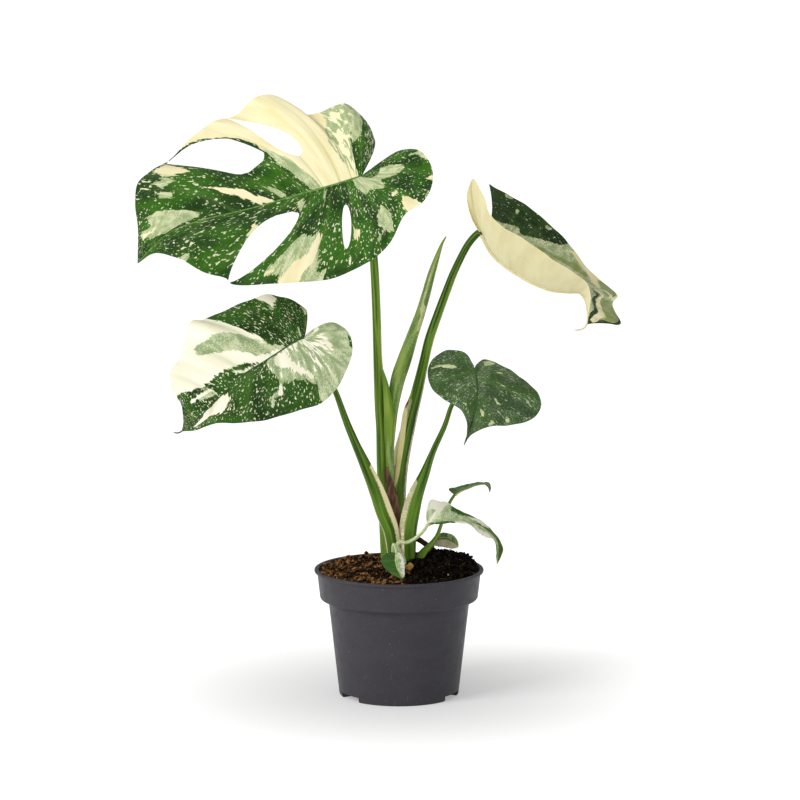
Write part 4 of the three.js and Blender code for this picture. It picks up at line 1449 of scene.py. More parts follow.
@dataclass(frozen=True)
class LooseBits:
    """Many small bits strewn over the soil, as one piece."""

    name: str
    finish: PlainFinish | SoilFinish
    doublings: int
    size: Share  # smallest and largest
    shape: Point  # length, width and height as shares of the size
    left: float = -70.0
    right: float = 70.0
    reach: float = 69.5
    rise: float = 0.2  # height of a bit's middle over the soil, as a share of its size
    seed: int = 1
    flat: bool = False  # lies flat instead of turned at random
    soil: Soil = Soil()  # that the bits lie on

    TRIES = 20  # spots drawn for each bit
    TILT = 0.18  # usual tilt of a flat bit, in radians
    SMALLER = 1.6  # power that makes small bits the more common ones
    UNEVEN = (0.7, 1.2)  # how far corners are drawn in and out

    def build(self) -> bpy.types.Object:
        """Strews the bits.

        Returns:
            The finished piece.
        """
        rng = np.random.default_rng(self.seed)
        bpy.ops.object.select_all(action="DESELECT")
        bpy.ops.mesh.primitive_ico_sphere_add(subdivisions=1, radius=0.5)
        bits = bpy.context.object
        shapes = copies(bits, self.doublings)
        count, corners, _ = shapes.shape
        spots = rng.uniform(-self.reach, self.reach, (count * self.TRIES, 2))
        kept = (np.hypot(*spots.T) < self.reach) & (spots[:, 0] > self.left)
        spots = spots[kept & (spots[:, 0] < self.right)][:count]
        turns = np.linalg.qr(rng.normal(size=(count, 3, 3)))[0]
        turns *= np.linalg.det(turns)[:, None, None]
        if self.flat:
            angle = rng.uniform(0, 2 * np.pi, count)
            tilt = rng.normal(0, self.TILT, count)
            turns = flat_turns(angle, tilt)
        share = rng.uniform(0, 1, count) ** self.SMALLER
        sizes = share * (self.size[1] - self.size[0]) + self.size[0]
        shapes = shapes * rng.uniform(*self.UNEVEN, (count, corners, 1)) * np.array(self.shape)
        shapes = np.einsum("nij,nkj->nki", turns, shapes * sizes[:, None, None])
        ground = self.soil.height(spots[:, 0], spots[:, 1]) + self.rise * sizes * min(self.shape)
        shapes += np.column_stack([spots, ground])[:, None, :]
        write_points(bits, shapes.reshape(-1, 3) * MM)
        bits.name = bits.data.name = self.name
        bits.data.materials.append(material_of(self.finish))
        smooth(bits, 40)
        hand_over(bits, "soil")
        return bits


def flat_turns(angle: np.ndarray, tilt: np.ndarray) -> np.ndarray:
    """Works out turns about the vertical after a small tilt.

    Args:
        angle: Turns about the vertical, in radians.
        tilt: Tilts before them, in radians.

    Returns:
        One rotation matrix for each pair.
    """
    turn = np.zeros((len(angle), 3, 3))
    turn[:, 0, 0] = np.cos(angle) * np.cos(tilt)
    turn[:, 1, 0] = np.sin(angle) * np.cos(tilt)
    turn[:, 2, 0] = np.sin(tilt)
    turn[:, 0, 1] = -np.sin(angle)
    turn[:, 1, 1] = np.cos(angle)
    turn[:, :, 2] = np.cross(turn[:, :, 0], turn[:, :, 1])
    return turn


def copies(obj: bpy.types.Object, doublings: int) -> np.ndarray:
    """Doubles an object's mesh several times over.

    Args:
        obj: The object.
        doublings: How often its mesh is doubled.

    Returns:
        The places of the vertices, by copy and by vertex.
    """
    corners = len(obj.data.vertices)
    for _ in range(doublings):
        edit(obj, bpy.ops.mesh.duplicate)
    return read_points(obj).reshape(-1, corners, 3)


def lumps(points: np.ndarray, size: float, seed: int) -> np.ndarray:
    """Smooth random heights from -1 to 1.

    Args:
        points: Where they are read, one row each.
        size: Size of a lump.
        seed: Chooses the lumps.

    Returns:
        One height for each point.
    """
    cells = 32
    table = np.random.default_rng(seed).uniform(-1, 1, (cells, cells, cells))
    places = points / size + cells
    first = np.floor(places).astype(int)
    part = places - first
    part = part * part * (3 - 2 * part)
    total = np.zeros(len(points))
    for corner in np.ndindex(2, 2, 2):
        weight = np.prod(np.where(np.array(corner) > 0, part, 1 - part), axis=1)
        total += weight * table[tuple(((first + corner) % cells).T)]
    return total


# The plant's shapes, in millimetres, with the camera on the -Y side

GREEN, PALE, CREAM, MARBLE, OLIVE, DASHES = Tone

LEAF = TissueFinish("leaf")
LEAF_UNDER = TissueFinish(
    "leaf underside",
    dark=srgb(70, 100, 58),
    bright=srgb(96, 128, 72),
    fleck=srgb(182, 196, 146),
    cream=srgb(238, 230, 196),
    roughness=0.55,
)
LEAF_RIB = PlainFinish("leaf midrib", srgb(86, 122, 56), srgb(116, 148, 78), grain=(4, 4, 9))
CUPPED = TissueFinish(
    "cupped leaf",
    dark=srgb(20, 44, 10),
    bright=srgb(40, 70, 18),
    clouds=(40.0, 6.0),
    streak=(18.0, 2.2),
    ragged=5.0,
    fleck_size=(2.4, 1.4),
    fleck_level=0.67,
    dash_size=(9.0, 1.6),
    dash_level=0.69,
)
CUPPED_UNDER_PAINTED_SHADE = TissueFinish(
    "cupped leaf underside",
    # cream and cream_shade are darker than this tissue's own cream: painted shade on the underside
    cream=srgb(208, 201, 158),
    cream_shade=srgb(200, 191, 146),
    blush=srgb(194, 162, 126),
    vein_show=0.1,
    dark=srgb(70, 100, 58),
    bright=srgb(96, 128, 72),
    roughness=0.55,
)
CUPPED_RIB = PlainFinish("cupped leaf midrib", srgb(196, 187, 140), srgb(206, 198, 154))
HEART = TissueFinish(
    "heart leaf",
    dark=srgb(48, 70, 40),
    bright=srgb(54, 86, 32),
    fleck=srgb(176, 190, 150),
    frost=srgb(140, 156, 130),
    frost_show=0.6,
    fleck_size=(1.8, 2.4),
    fleck_level=0.645,
    dash_size=(1.6, 6.0),
    dash_level=0.66,
)
HEART_RIB = PlainFinish("heart leaf midrib", srgb(52, 78, 42), srgb(68, 94, 52), sheen=0.1)
WHITER = replace(
    LEAF,
    name="whiter leaf",
    pale=srgb(196, 202, 164),
    pale_shade=srgb(138, 156, 114),
    cream=srgb(238, 234, 216),
    cream_shade=srgb(232, 226, 202),
    dark=srgb(22, 50, 12),
    bright=srgb(42, 85, 15),
    fleck_size=(1.5, 2.2),
    fleck_level=0.61,
)

UPPER_LEAF_NEAR = HalfBlade(
    lift=0.03, sweep=-0.06, columns=190, rows=60, veins=10,
    stations=(
        (0, -33, 12, 460), (0, -15, 24, 471), (0, 2, 26, 482), (0, 18, 17, 482), (0, 28, 4, 470),
        (0, 29, -12, 455), (0.005, 21, -28, 442), (0.015, 4, -36, 430), (0.03, -9, -54, 406),
        (0.055, -30, -66, 391), (0.1, -62, -74, 379), (0.16, -101, -78, 376), (0.2, -140, -76, 375),
        (0.22, -148, -74, 380), (0.36, -167, -72, 385), (0.57, -189, -64, 396), (0.8, -209, -56, 400),
        (1, -225, -48, 390),
    ),
    cuts=(
        Cut(at=0.543, start=0.27, end=0.76, width=8.5, mouth=0, blunt=0.5, taper=0.5, span=0.05),
        Cut(
            at=0.783, start=0.25, end=1, width=33, mouth=1.5, blunt=0.28, taper=0.75, span=0.16,
            lean=0.15,
        ),
    ),
    patches=(
        PALE.patch((46, -8), (30, -8), (30, 32), (33, 43), (38, 29), (43, 28), (46, 13)),
        PALE.patch((32, 10), (16, 28), (17, 49), (19, 62), (22, 50), (26, 32), (32, 21)),
        PALE.patch((15, 77), (15, 108), (18, 108), (18, 95), (16, 89)),
        CREAM.patch((24, 87), (22, 108), (24, 108), (24, 90)),
        CREAM.patch((32, 71), (31, 80), (31, 108), (34, 108), (35, 108), (34, 84)),
        CREAM.patch((33, 57), (31, 57), (32, 64), (34, 64)),
        PALE.patch((39, 57), (38, 78), (40, 96), (42, 88), (44, 71), (43, 59)),
        PALE.patch((45, 79), (44, 83), (45, 89), (46, 86)),
        CREAM.patch((52, 57), (50, 62), (51, 74), (52, 67)),
        PALE.patch((68, 52), (64, 57), (64, 70), (66, 81), (68, 91), (72, 84), (71, 74), (70, 61)),
        PALE.patch((62, 75), (61, 82), (61, 92), (59, 90), (59, 108), (64, 108), (64, 95), (63, 84)),
        CREAM.patch(
            (63, 51), (62, 55), (62, 72), (63, 85), (64, 95), (64, 108), (68, 108), (68, 92), (67, 81),
            (64, 72), (64, 61),
        ),
        CREAM.patch((74, 108), (72, 88), (71, 86), (70, 88), (72, 92), (73, 96)),
        CREAM.patch((82, 61), (84, 35), (82, 40), (81, 60), (81, 68)),
        PALE.patch((79, 8), (75, 16), (73, 28), (79, 16)),
        PALE.patch((65, 6), (64, 4), (64, 18), (65, 12)),
        PALE.patch((90, 97), (89, 89), (88, 94), (88, 108)),
        PALE.patch((98, 9), (97, 0), (97, 0), (98, 42)),
        DASHES.patch((94, 87), (90, 26), (89, 51), (90, 94)),
    ),
)
UPPER_LEAF_FAR = HalfBlade(
    lift=0.15, sweep=-0.14, columns=200, rows=60, veins=10,
    stations=(
        (0, -33, 12, 460), (0, -31, 20, 467), (0, -25, 33, 478), (0, -21, 42, 489), (0, -28, 52, 504),
        (0, -44, 60, 519), (0.01, -54, 60, 519), (0.02, -68, 60, 513), (0.035, -83, 62, 511),
        (0.05, -97, 68, 519), (0.07, -111, 76, 527), (0.1, -128, 76, 524), (0.14, -146, 68, 509),
        (0.17, -166, 64, 504), (0.22, -184, 54, 490), (0.28, -203, 40, 471), (0.36, -217, 20, 465),
        (0.47, -228, 4, 454), (0.6, -229, -14, 438), (0.74, -226, -30, 422), (0.88, -225, -41, 407),
        (1, -225, -48, 390),
    ),
    cuts=(
        Cut(at=0.515, start=0.32, end=1, width=20, mouth=1.5, blunt=0.5, taper=1.1, span=0.09),
        Cut(
            at=0.685, start=0.4, end=1, width=46, mouth=1.5, blunt=0.3, taper=0.35, span=0.12,
            lean=0.5,
        ),
    ),
    patches=(
        CREAM.patch(
            (69, 108), (64, 100), (62, 96), (60, 87), (58, 70), (58, 62), (58, 47), (57, 32), (55, 18),
            (52, -8), (22, -8), (30, 11), (36, 21), (38, 35), (29, 76), (27, 108), (61, 108),
        ),
        PALE.patch((58, 48), (56, 33), (55, 18), (52, -8), (57, -8), (59, 10), (59, 22), (60, 33)),
        MARBLE.patch(
            (27, 108), (23, 108), (22, 86), (24, 71), (25, 52), (26, 28), (26, 10), (22, -8), (30, 11),
            (36, 21), (38, 35), (29, 76),
        ),
        PALE.patch((21, 108), (18, 108), (18, 77), (21, 47), (24, 39), (24, 61)),
        DASHES.patch((-2, 10), (-2, 108), (17, 108), (18, 50), (20, 10)),
        CREAM.patch((79, 47), (78, 37), (76, 24), (76, 12), (74, 4), (74, 0), (77, 2), (78, 14), (79, 30)),
        PALE.patch((72, 20), (70, 14), (69, 2), (72, 2), (72, 12)),
        CREAM.patch((75, 98), (71, 97), (72, 88), (75, 71), (77, 82), (77, 88)),
        PALE.patch((80, 88), (78, 82), (79, 72), (81, 79)),
        PALE.patch((83, 79), (82, 66), (84, 62), (84, 75)),
        PALE.patch(
            (94, 86), (92, 65), (90, 83), (88, 70), (87, 43), (86, 21), (86, 11), (90, 8), (93, 7), (95, 48),
        ),
        CREAM.patch((94, 89), (93, 57), (91, 49), (93, 49), (95, 78)),
    ),
)
UPPER_LEAF = Blade(
    "leaf_upper",
    up=(-0.1, -0.66, 0.74),
    rib=(2.4, 0.7),
    midrib=(
        (-33, 12, 460), (-60, 6, 452), (-87, 0, 445), (-111, -5, 438), (-140, -12, 431), (-169, -22, 425),
        (-194, -33, 417), (-208, -40, 407), (-225, -48, 390),
    ),
    near=UPPER_LEAF_NEAR,
    far=UPPER_LEAF_FAR,
    finish=LEAF,
    under=LEAF_UNDER,
    rib_finish=LEAF_RIB,
)

LEFT_LEAF_NEAR = HalfBlade(
    lift=0.08, sweep=-0.1, columns=130, rows=44, veins=8,
    stations=(
        (0, -82, -40, 324), (0, -76, -34, 329), (0, -67, -30, 335), (0, -54, -34, 336), (0, -43, -46, 328),
        (0, -40, -58, 316), (0.03, -44, -70, 303), (0.08, -52, -84, 288), (0.14, -66, -96, 276),
        (0.24, -88, -102, 269), (0.36, -116, -104, 262), (0.5, -139, -102, 259), (0.65, -159, -96, 258),
        (0.82, -173, -88, 251), (1, -186, -82, 249),
    ),
    patches=(
        PALE.patch(
            (68, -8), (-5, -8), (-5, 108), (50, 108), (51, 89), (51, 73), (53, 65), (54, 54), (55, 54),
            (57, 62), (58, 53), (60, 58), (62, 47), (64, 32), (66, 16),
        ),
        MARBLE.patch((66, -8), (10, -8), (20, 30), (42, 60), (60, 50)),
        CREAM.patch(
            (66, 6), (60, 3), (59, 24), (57, 39), (54, 50), (51, 66), (53, 65), (55, 52), (57, 57), (58, 44),
            (61, 36), (63, 33), (66, 18),
        ),
        PALE.patch((59, 14), (51, 18), (49, 35), (52, 46), (56, 38), (59, 24)),
        CREAM.patch((26, 34), (26, 43), (33, 66), (34, 57), (31, 44)),
        CREAM.patch((16, 9), (6, 65), (9, 108), (10, 60), (17, 18)),
        GREEN.patch((21, 95), (22, 108), (27, 108), (26, 93), (22, 91)),
        GREEN.patch((33, 5), (24, 19), (30, 13)),
        CREAM.patch((69, 9), (68, 12), (67, 28), (68, 25)),
        CREAM.patch((65, 54), (64, 55), (64, 74), (66, 72)),
        CREAM.patch((65, 32), (64, 37), (63, 49), (64, 46)),
        PALE.patch((69, 68), (68, 70), (67, 83), (68, 85)),
        CREAM.patch((96, 77), (91, 6), (86, 4), (84, 21), (83, 48), (85, 77), (90, 62), (95, 75)),
    ),
)
LEFT_LEAF_FAR = HalfBlade(
    lift=0.08, sweep=-0.1, columns=140, rows=44, veins=8,
    stations=(
        (0, -82, -40, 324), (0, -87, -34, 330), (0, -86, -28, 337), (0, -80, -22, 345), (0, -90, -14, 352),
        (0.03, -104, -8, 356), (0.07, -116, -4, 358), (0.13, -134, 0, 351), (0.2, -152, 0, 343),
        (0.28, -171, -3, 336), (0.36, -182, -8, 334), (0.44, -187, -18, 318), (0.54, -190, -28, 307),
        (0.62, -198, -40, 294), (0.74, -196, -54, 281), (0.86, -188, -66, 271), (0.94, -185, -76, 258),
        (1, -186, -82, 249),
    ),
    patches=(
        CREAM.patch(
            (50, 108), (88, 108), (81, 57), (77, 38), (74, 30), (71, 31), (66, 22), (62, 11), (57, -8),
            (46, -8), (50, 12), (50, 24), (49, 32), (50, 49), (50, 69), (50, 84),
        ),
        PALE.patch(
            (65, 85), (62, 77), (57, 65), (54, 56), (52, 45), (51, 34), (51, 22), (50, 12), (46, 4), (50, 5),
            (54, 8), (57, 22), (60, 36), (64, 52), (67, 74),
        ),
        GREEN.patch((56, 80), (55, 79), (55, 73), (56, 77)),
        CREAM.patch((33, 108), (27, 108), (26, 87), (29, 74), (32, 65), (31, 77), (32, 89)),
        CREAM.patch((33, 66), (34, 57), (35, 53), (34, 59)),
        PALE.patch((16, 90), (11, 108), (8, 108), (14, 69)),
        PALE.patch((25, 22), (23, 22), (24, 6), (27, 5)),
        CREAM.patch((84, 47), (80, 34), (76, 23), (76, 18), (80, 26), (85, 40)),
        CREAM.patch((80, 24), (78, 16), (76, 9), (78, 16)),
        CREAM.patch((66, 14), (64, 6), (61, 3), (64, 0), (66, 7)),
        CREAM.patch((84, 17), (83, 15), (82, 11), (83, 12)),
        GREEN.patch((66, 21), (63, 15), (57, 2), (59, 2), (64, 8), (66, 16)),
    ),
)
LEFT_LEAF = Blade(
    "leaf_left",
    up=(-0.25, -0.66, 0.71),
    rib=(2.0, 0.6),
    tail=((-190, -83.5, 247.5), (-194, -84.5, 248.5)),
    midrib=(
        (-82, -40, 324), (-91, -42, 320), (-114, -50, 306), (-137, -59, 292), (-159, -69, 271),
        (-175, -76, 257), (-186, -82, 249),
    ),
    near=LEFT_LEAF_NEAR,
    far=LEFT_LEAF_FAR,
    finish=WHITER,
    under=LEAF_UNDER,
    rib_finish=HEART_RIB,
    relief=Relief(seed=1.7),
)

RIGHT_LEAF_NEAR = HalfBlade(
    lift=-0.1, sweep=-0.05, columns=150, rows=50, veins=8,
    stations=(
        (0, 73, 8, 410), (0, 65, -2, 421), (0, 59, -16, 442), (0, 61, -26, 456), (0, 65, -32, 461),
        (0.02, 72, -46, 448), (0.06, 78, -58, 433), (0.14, 89, -66, 423), (0.26, 112, -72, 409),
        (0.4, 140, -72, 390), (0.55, 159, -62, 376), (0.7, 165, -50, 364), (0.84, 164, -38, 347),
        (1, 163, -26, 334),
    ),
    patches=(CREAM.patch((-10, -10), (110, -10), (110, 110), (-10, 110)),),
)
RIGHT_LEAF_FAR = HalfBlade(
    lift=-0.06, sweep=-0.05, lobe=(-0.05, 0.27, 0.3), columns=150, rows=50, veins=8,
    stations=(
        (0, 80, 46, 450), (0.03, 98, 58, 439), (0.1, 121, 66, 424), (0.18, 140, 66, 407),
        (0.28, 155, 62, 391), (0.38, 171, 52, 371), (0.5, 187, 42, 358), (0.6, 194, 34, 352),
        (0.68, 188, 22, 345), (0.78, 195, 12, 330), (0.86, 183, -2, 332), (0.94, 170, -18, 334),
        (1, 163, -26, 334),
    ),
    patches=(
        PALE.patch(
            (-5, 44), (8, 48), (14, 57), (21, 63), (24, 58), (31, 74), (36, 86), (40, 108), (46, 108),
            (50, 108), (50, 94), (46, 90), (53, 82), (60, 72), (69, 57), (73, 32), (92, 12), (95, -8),
            (-5, -8),
        ),
        OLIVE.patch(
            (31, 56), (34, 65), (40, 74), (46, 88), (52, 93), (55, 88), (51, 83), (43, 72), (37, 63),
            (33, 57),
        ),
        CREAM.patch(
            (40, 95), (46, 108), (50, 108), (56, 108), (56, 93), (60, 83), (57, 82), (50, 94), (45, 94),
        ),
        OLIVE.patch((56, 96), (56, 108), (63, 108), (69, 94), (65, 73), (60, 84)),
        CREAM.patch((62, 108), (65, 108), (72, 108), (68, 88)),
        CREAM.patch((61, 83), (62, 85), (68, 90), (68, 80)),
        GREEN.patch((57, 72), (60, 72), (69, 57), (77, 38), (90, 32), (92, 12), (73, 32)),
        CREAM.patch(
            (60, 72), (70, 67), (78, 56), (87, 62), (96, 89), (95, 33), (90, 35), (77, 38), (69, 57),
        ),
        OLIVE.patch((68, 67), (72, 100), (76, 100), (82, 89), (87, 71), (78, 56)),
        PALE.patch((8, 98), (11, 100), (12, 99), (8, 92)),
        PALE.patch((14, 84), (15, 88), (16, 84), (15, 79)),
        PALE.patch((28, 94), (30, 98), (30, 94), (29, 92)),
    ),
)
RIGHT_LEAF = Blade(
    "leaf_right",
    up=(0.35, -0.1, 0.93),
    rib=(2.0, 0.6),
    tail=((159, -28, 330), (151, -29, 329)),
    midrib=(
        (73, 8, 410), (85, 4, 390), (108, -2, 373), (130, -8, 363), (147, -14, 361), (157, -18, 361),
        (162, -22, 355), (164, -24, 345), (163, -26, 334),
    ),
    near=RIGHT_LEAF_NEAR,
    far=RIGHT_LEAF_FAR,
    finish=CUPPED,
    under=CUPPED_UNDER_PAINTED_SHADE,
    rib_finish=CUPPED_RIB,
    slot="pale_leaf",
    relief=Relief(seed=3.1, groove=0.35, wave=0.7),
)

HEART_LEAF_NEAR = HalfBlade(
    lift=0.05, sweep=-0.1, columns=110, rows=34, veins=6,
    stations=(
        (0, 66, -10, 292), (0, 64, -6, 298), (0, 57, 2, 306), (0, 42, 4, 307), (0, 29, -4, 300),
        (0, 25, -16, 289), (0.06, 29, -28, 278), (0.15, 39, -38, 270), (0.3, 52, -48, 264),
        (0.5, 58, -58, 255), (0.75, 59, -66, 245), (1, 56, -70, 235),
    ),
    patches=(
        PALE.patch(
            (41, 98), (39, 87), (38, 69), (36, 57), (38, 44), (41, 38), (44, 48), (42, 57), (40, 73),
            (42, 91),
        ),
        PALE.patch((57, 76), (57, 71), (58, 72), (58, 77)),
        PALE.patch((76, 80), (79, 72), (81, 54), (79, 78)),
    ),
)
HEART_LEAF_FAR = HalfBlade(
    lift=0.08, sweep=-0.1, columns=110, rows=34, veins=6,
    stations=(
        (0, 66, -10, 292), (0, 69, -6, 297), (0, 76, 0, 300), (0, 89, 0, 295), (0.02, 103, -4, 287),
        (0.06, 117, -12, 277), (0.12, 124, -24, 266), (0.2, 121, -34, 257), (0.32, 111, -42, 251),
        (0.45, 94, -49, 249), (0.58, 79, -56, 249), (0.72, 66, -62, 245), (0.85, 60, -67, 241),
        (1, 56, -70, 235),
    ),
    patches=(
        PALE.patch((11, 61), (12, 92), (14, 92), (16, 80), (18, 54), (16, 42)),
        PALE.patch((33, 43), (30, 55), (34, 51), (34, 44)),
        PALE.patch((49, 30), (49, 34), (50, 44), (51, 42)),
        PALE.patch((51, 61), (51, 64), (52, 72), (52, 70)),
        PALE.patch((64, 32), (64, 38), (66, 51), (67, 47)),
        PALE.patch((74, 90), (70, 85), (71, 93), (73, 93)),
        PALE.patch((84, 95), (80, 82), (80, 93), (83, 98)),
        PALE.patch((81, 19), (80, 40), (82, 56), (84, 45)),
    ),
)
HEART_LEAF = Blade(
    "leaf_heart",
    up=(0.05, -0.8, 0.6),
    rib=(1.5, 0.5),
    midrib=(
        (66, -10, 292), (68, -20, 283), (68, -31, 273), (66, -44, 262), (61, -58, 248), (56, -70, 235),
    ),
    near=HEART_LEAF_NEAR,
    far=HEART_LEAF_FAR,
    finish=HEART,
    under=LEAF_UNDER,
    rib_finish=HEART_RIB,
    relief=Relief(seed=0.6, groove=0.35, wave=0.6),
)

SHOOT = TissueFinish(
    "shoot blade",
    dark=srgb(56, 88, 34),
    bright=srgb(78, 112, 50),
    pale=srgb(196, 206, 170),
    pale_shade=srgb(140, 162, 116),
    cream=srgb(232, 230, 216),
    cream_shade=srgb(216, 212, 192),
    fleck_level=0.74,
    dash_level=0.76,
)
BRIGHT_SHOOT = replace(
    SHOOT,
    name="green shoot blade",
    dark=srgb(48, 82, 34),
    bright=srgb(86, 118, 56),
    frost_show=0.05,
    fleck_level=0.8,
    dash_level=0.84,
)
SHOOT_UNDER = TissueFinish(
    "shoot underside",
    dark=srgb(80, 108, 58),
    bright=srgb(108, 136, 74),
    cream=srgb(232, 216, 196),
    cream_shade=srgb(224, 200, 178),
    fleck_level=0.8,
    dash_level=0.84,
    roughness=0.55,
)
SHOOT_RIB = PlainFinish("shoot midrib", srgb(150, 166, 96), srgb(184, 192, 130))

ARCHING_SHOOT_NEAR = HalfBlade(
    lift=0.03, sweep=-0.05, columns=90, rows=22, veins=6,
    stations=(
        (0, 25.4, -28, 158.1), (0.1, 35.9, -35, 159.6), (0.27, 50.6, -39, 161.2), (0.4, 62, -42, 159.4),
        (0.5, 69, -45, 153.8), (0.58, 75.9, -46, 149.3), (0.65, 82, -44, 148), (0.78, 84.6, -42, 142),
        (0.88, 85.2, -41, 135.6), (1, 85.7, -40, 124.4),
    ),
    patches=(
        PALE.patch((-5, -10), (90, -10), (90, 40), (50, 50), (-5, 60)),
        CREAM.patch((30, 80), (45, 45), (70, 40), (80, 110), (30, 110)),
    ),
)
ARCHING_SHOOT_FAR = HalfBlade(
    lift=0.03, sweep=-0.1, columns=100, rows=22, veins=6,
    stations=(
        (0, 25.4, -28, 158.1), (0, 23.4, -26, 164), (0, 24.6, -22, 172.1), (0.02, 28, -18, 178.1),
        (0.07, 36, -16, 176), (0.15, 42, -15, 175.3), (0.28, 52, -16, 168.3), (0.43, 66.7, -22, 163),
        (0.58, 77, -27, 156.6), (0.72, 86, -31, 147.5), (0.85, 90.8, -35, 138), (0.93, 89.8, -37, 132),
        (1, 85.7, -40, 124.4),
    ),
    patches=(
        PALE.patch((12, -10), (62, -10), (60, 50), (30, 75), (20, 80)),
        CREAM.patch((-5, -10), (22, -10), (30, 40), (36, 110), (-5, 110)),
        PALE.patch((5, 20), (20, 10), (28, 50), (12, 60)),
        CREAM.patch((55, 50), (66, 35), (72, 75), (66, 110), (57, 110)),
    ),
)
ARCHING_SHOOT = Blade(
    "shoot_leaf_arching",
    up=(-0.05, -0.45, 0.89),
    rib=(1.5, 0.5),
    thickness=0.6,
    midrib=(
        (25.4, -28, 158.1), (37, -28.5, 162), (50.8, -30, 162.5), (64, -33, 160), (76.1, -36, 153.8),
        (85.7, -38, 143.1), (85.7, -40, 124.4),
    ),
    near=ARCHING_SHOOT_NEAR,
    far=ARCHING_SHOOT_FAR,
    finish=SHOOT,
    under=SHOOT_UNDER,
    rib_finish=SHOOT_RIB,
    relief=Relief(0.2, 0.4, 0.2, 0.4),
)

NARROW_SHOOT_NEAR = HalfBlade(
    lift=0.04, sweep=-0.05, columns=70, rows=18, veins=5,
    stations=(
        (0, 49.6, 6, 178.3), (0, 45.5, 1, 182), (0, 44.5, -3, 185.4), (0.1, 52, -8, 187.1),
        (0.3, 60, -9, 188.2), (0.5, 67, -8, 189.7), (0.68, 72.5, -6, 190), (0.84, 78, -3, 187.5),
        (1, 80.4, 0, 181.2),
    ),
)
NARROW_SHOOT_FAR = HalfBlade(
    lift=0.04, sweep=-0.05, columns=70, rows=18, veins=5,
    stations=(
        (0, 49.6, 6, 178.3), (0, 49.5, 12, 182.5), (0.08, 54.2, 16, 184.2), (0.25, 61.3, 18, 185.4),
        (0.45, 68.4, 17, 187.2), (0.62, 74, 13, 188), (0.78, 79, 8, 188.6), (0.9, 81.1, 4, 186.3),
        (1, 80.4, 0, 181.2),
    ),
)
NARROW_SHOOT = Blade(
    "shoot_leaf_narrow",
    up=(-0.1, -0.15, 0.98),
    rib=(1.2, 0.5),
    thickness=0.6,
    midrib=(
        (49.6, 6, 178.3), (54, 6, 181.5), (61.1, 6, 184.3), (68.1, 5, 187), (74.3, 4, 188.1),
        (78.7, 2, 187.5), (80.4, 0, 181.2),
    ),
    near=NARROW_SHOOT_NEAR,
    far=NARROW_SHOOT_FAR,
    finish=replace(SHOOT, name="narrow shoot blade", fleck_level=0.8, dash_level=0.84),
    under=SHOOT_UNDER,
    rib_finish=SHOOT_RIB,
    relief=Relief(0.2, 0.3, 0.2, 2.2),
)

DROOPING_SHOOT_NEAR = HalfBlade(
    lift=0.1, sweep=-0.05, columns=60, rows=18, veins=5,
    stations=(
        (0, -2.6, -43, 134), (0, -5.5, -41.5, 135.4), (0.02, -10.5, -42, 134.5), (0.1, -14.4, -44, 132),
        (0.22, -15.6, -46.5, 128.6), (0.42, -13.2, -50, 124), (0.68, -8.1, -53, 119.6),
        (0.88, -1.7, -54, 116), (1, 3.5, -53.5, 113.4),
    ),
)
DROOPING_SHOOT_FAR = HalfBlade(
    lift=0.1, sweep=-0.05, columns=60, rows=18, veins=5,
    stations=(
        (0, -2.6, -43, 134), (0, -1, -41.5, 135.4), (0.06, 2.4, -42.5, 133), (0.25, 4.6, -44, 127.3),
        (0.5, 5, -46.5, 121), (0.78, 4.6, -49.5, 115.8), (1, 3.5, -53.5, 113.4),
    ),
    patches=(
        PALE.patch((-5, -10), (105, -10), (105, 110), (-5, 110)),
        CREAM.patch((10, 50), (80, 50), (90, 110), (5, 110)),
    ),
)
DROOPING_SHOOT = Blade(
    "shoot_leaf_drooping",
    up=(-0.1, -0.9, 0.42),
    rib=(1.1, 0.5),
    thickness=0.6,
    midrib=(
        (-2.6, -43, 134), (-3, -46, 129), (-1.7, -48, 123.3), (0.9, -50, 117.5), (3.5, -53.5, 113.4),
    ),
    near=DROOPING_SHOOT_NEAR,
    far=DROOPING_SHOOT_FAR,
    finish=BRIGHT_SHOOT,
    under=SHOOT_UNDER,
    rib_finish=SHOOT_RIB,
    relief=Relief(0.2, 0.3, 0.2, 1.2),
)

REAR_SHOOT_NEAR = HalfBlade(
    lift=0.06, sweep=-0.05, columns=60, rows=16, veins=5,
    stations=(
        (0, 31.2, 18, 130.6), (0.04, 34.7, 13, 130.2), (0.3, 39.9, 9, 130.4), (0.6, 46.2, 8, 129.4),
        (0.85, 50.6, 10, 129.3), (1, 52.8, 13, 129.6),
    ),
    patches=(CREAM.patch((-5, -10), (105, -10), (105, 110), (-5, 110)),),
)
REAR_SHOOT_FAR = HalfBlade(
    lift=0.06, sweep=-0.05, columns=60, rows=16, veins=5,
    stations=(
        (0, 31.2, 18, 130.6), (0, 30.2, 21, 133.6), (0.06, 32.5, 24, 137), (0.25, 37, 26, 139.6),
        (0.5, 43.4, 26.5, 139.6), (0.75, 49.4, 23, 137.4), (0.92, 52.6, 17.5, 133), (1, 52.8, 13, 129.6),
    ),
    patches=(
        OLIVE.patch((-5, -10), (105, -10), (105, 110), (-5, 110)),
        GREEN.patch((10, -10), (105, -10), (105, 30), (60, 26), (15, 12)),
        GREEN.patch((30, 40), (80, 44), (80, 56), (30, 50)),
        GREEN.patch((10, 72), (60, 74), (60, 84), (10, 82)),
    ),
)
REAR_SHOOT = Blade(
    "shoot_leaf_rear",
    up=(0.1, -0.55, 0.83),
    rib=(1.1, 0.5),
    thickness=0.6,
    midrib=((31.2, 18, 130.6), (35.6, 18, 134.6), (42.2, 17, 135), (48.2, 15, 132.8), (52.8, 13, 129.6)),
    near=REAR_SHOOT_NEAR,
    far=REAR_SHOOT_FAR,
    finish=replace(
        SHOOT, name="rear shoot blade", olive=srgb(134, 142, 82), cream=srgb(206, 192, 172),
        cream_shade=srgb(170, 160, 128),
    ),
    under=SHOOT_UNDER,
    rib_finish=SHOOT_RIB,
    relief=Relief(0.2, 0.3, 0.2, 0.9),
)

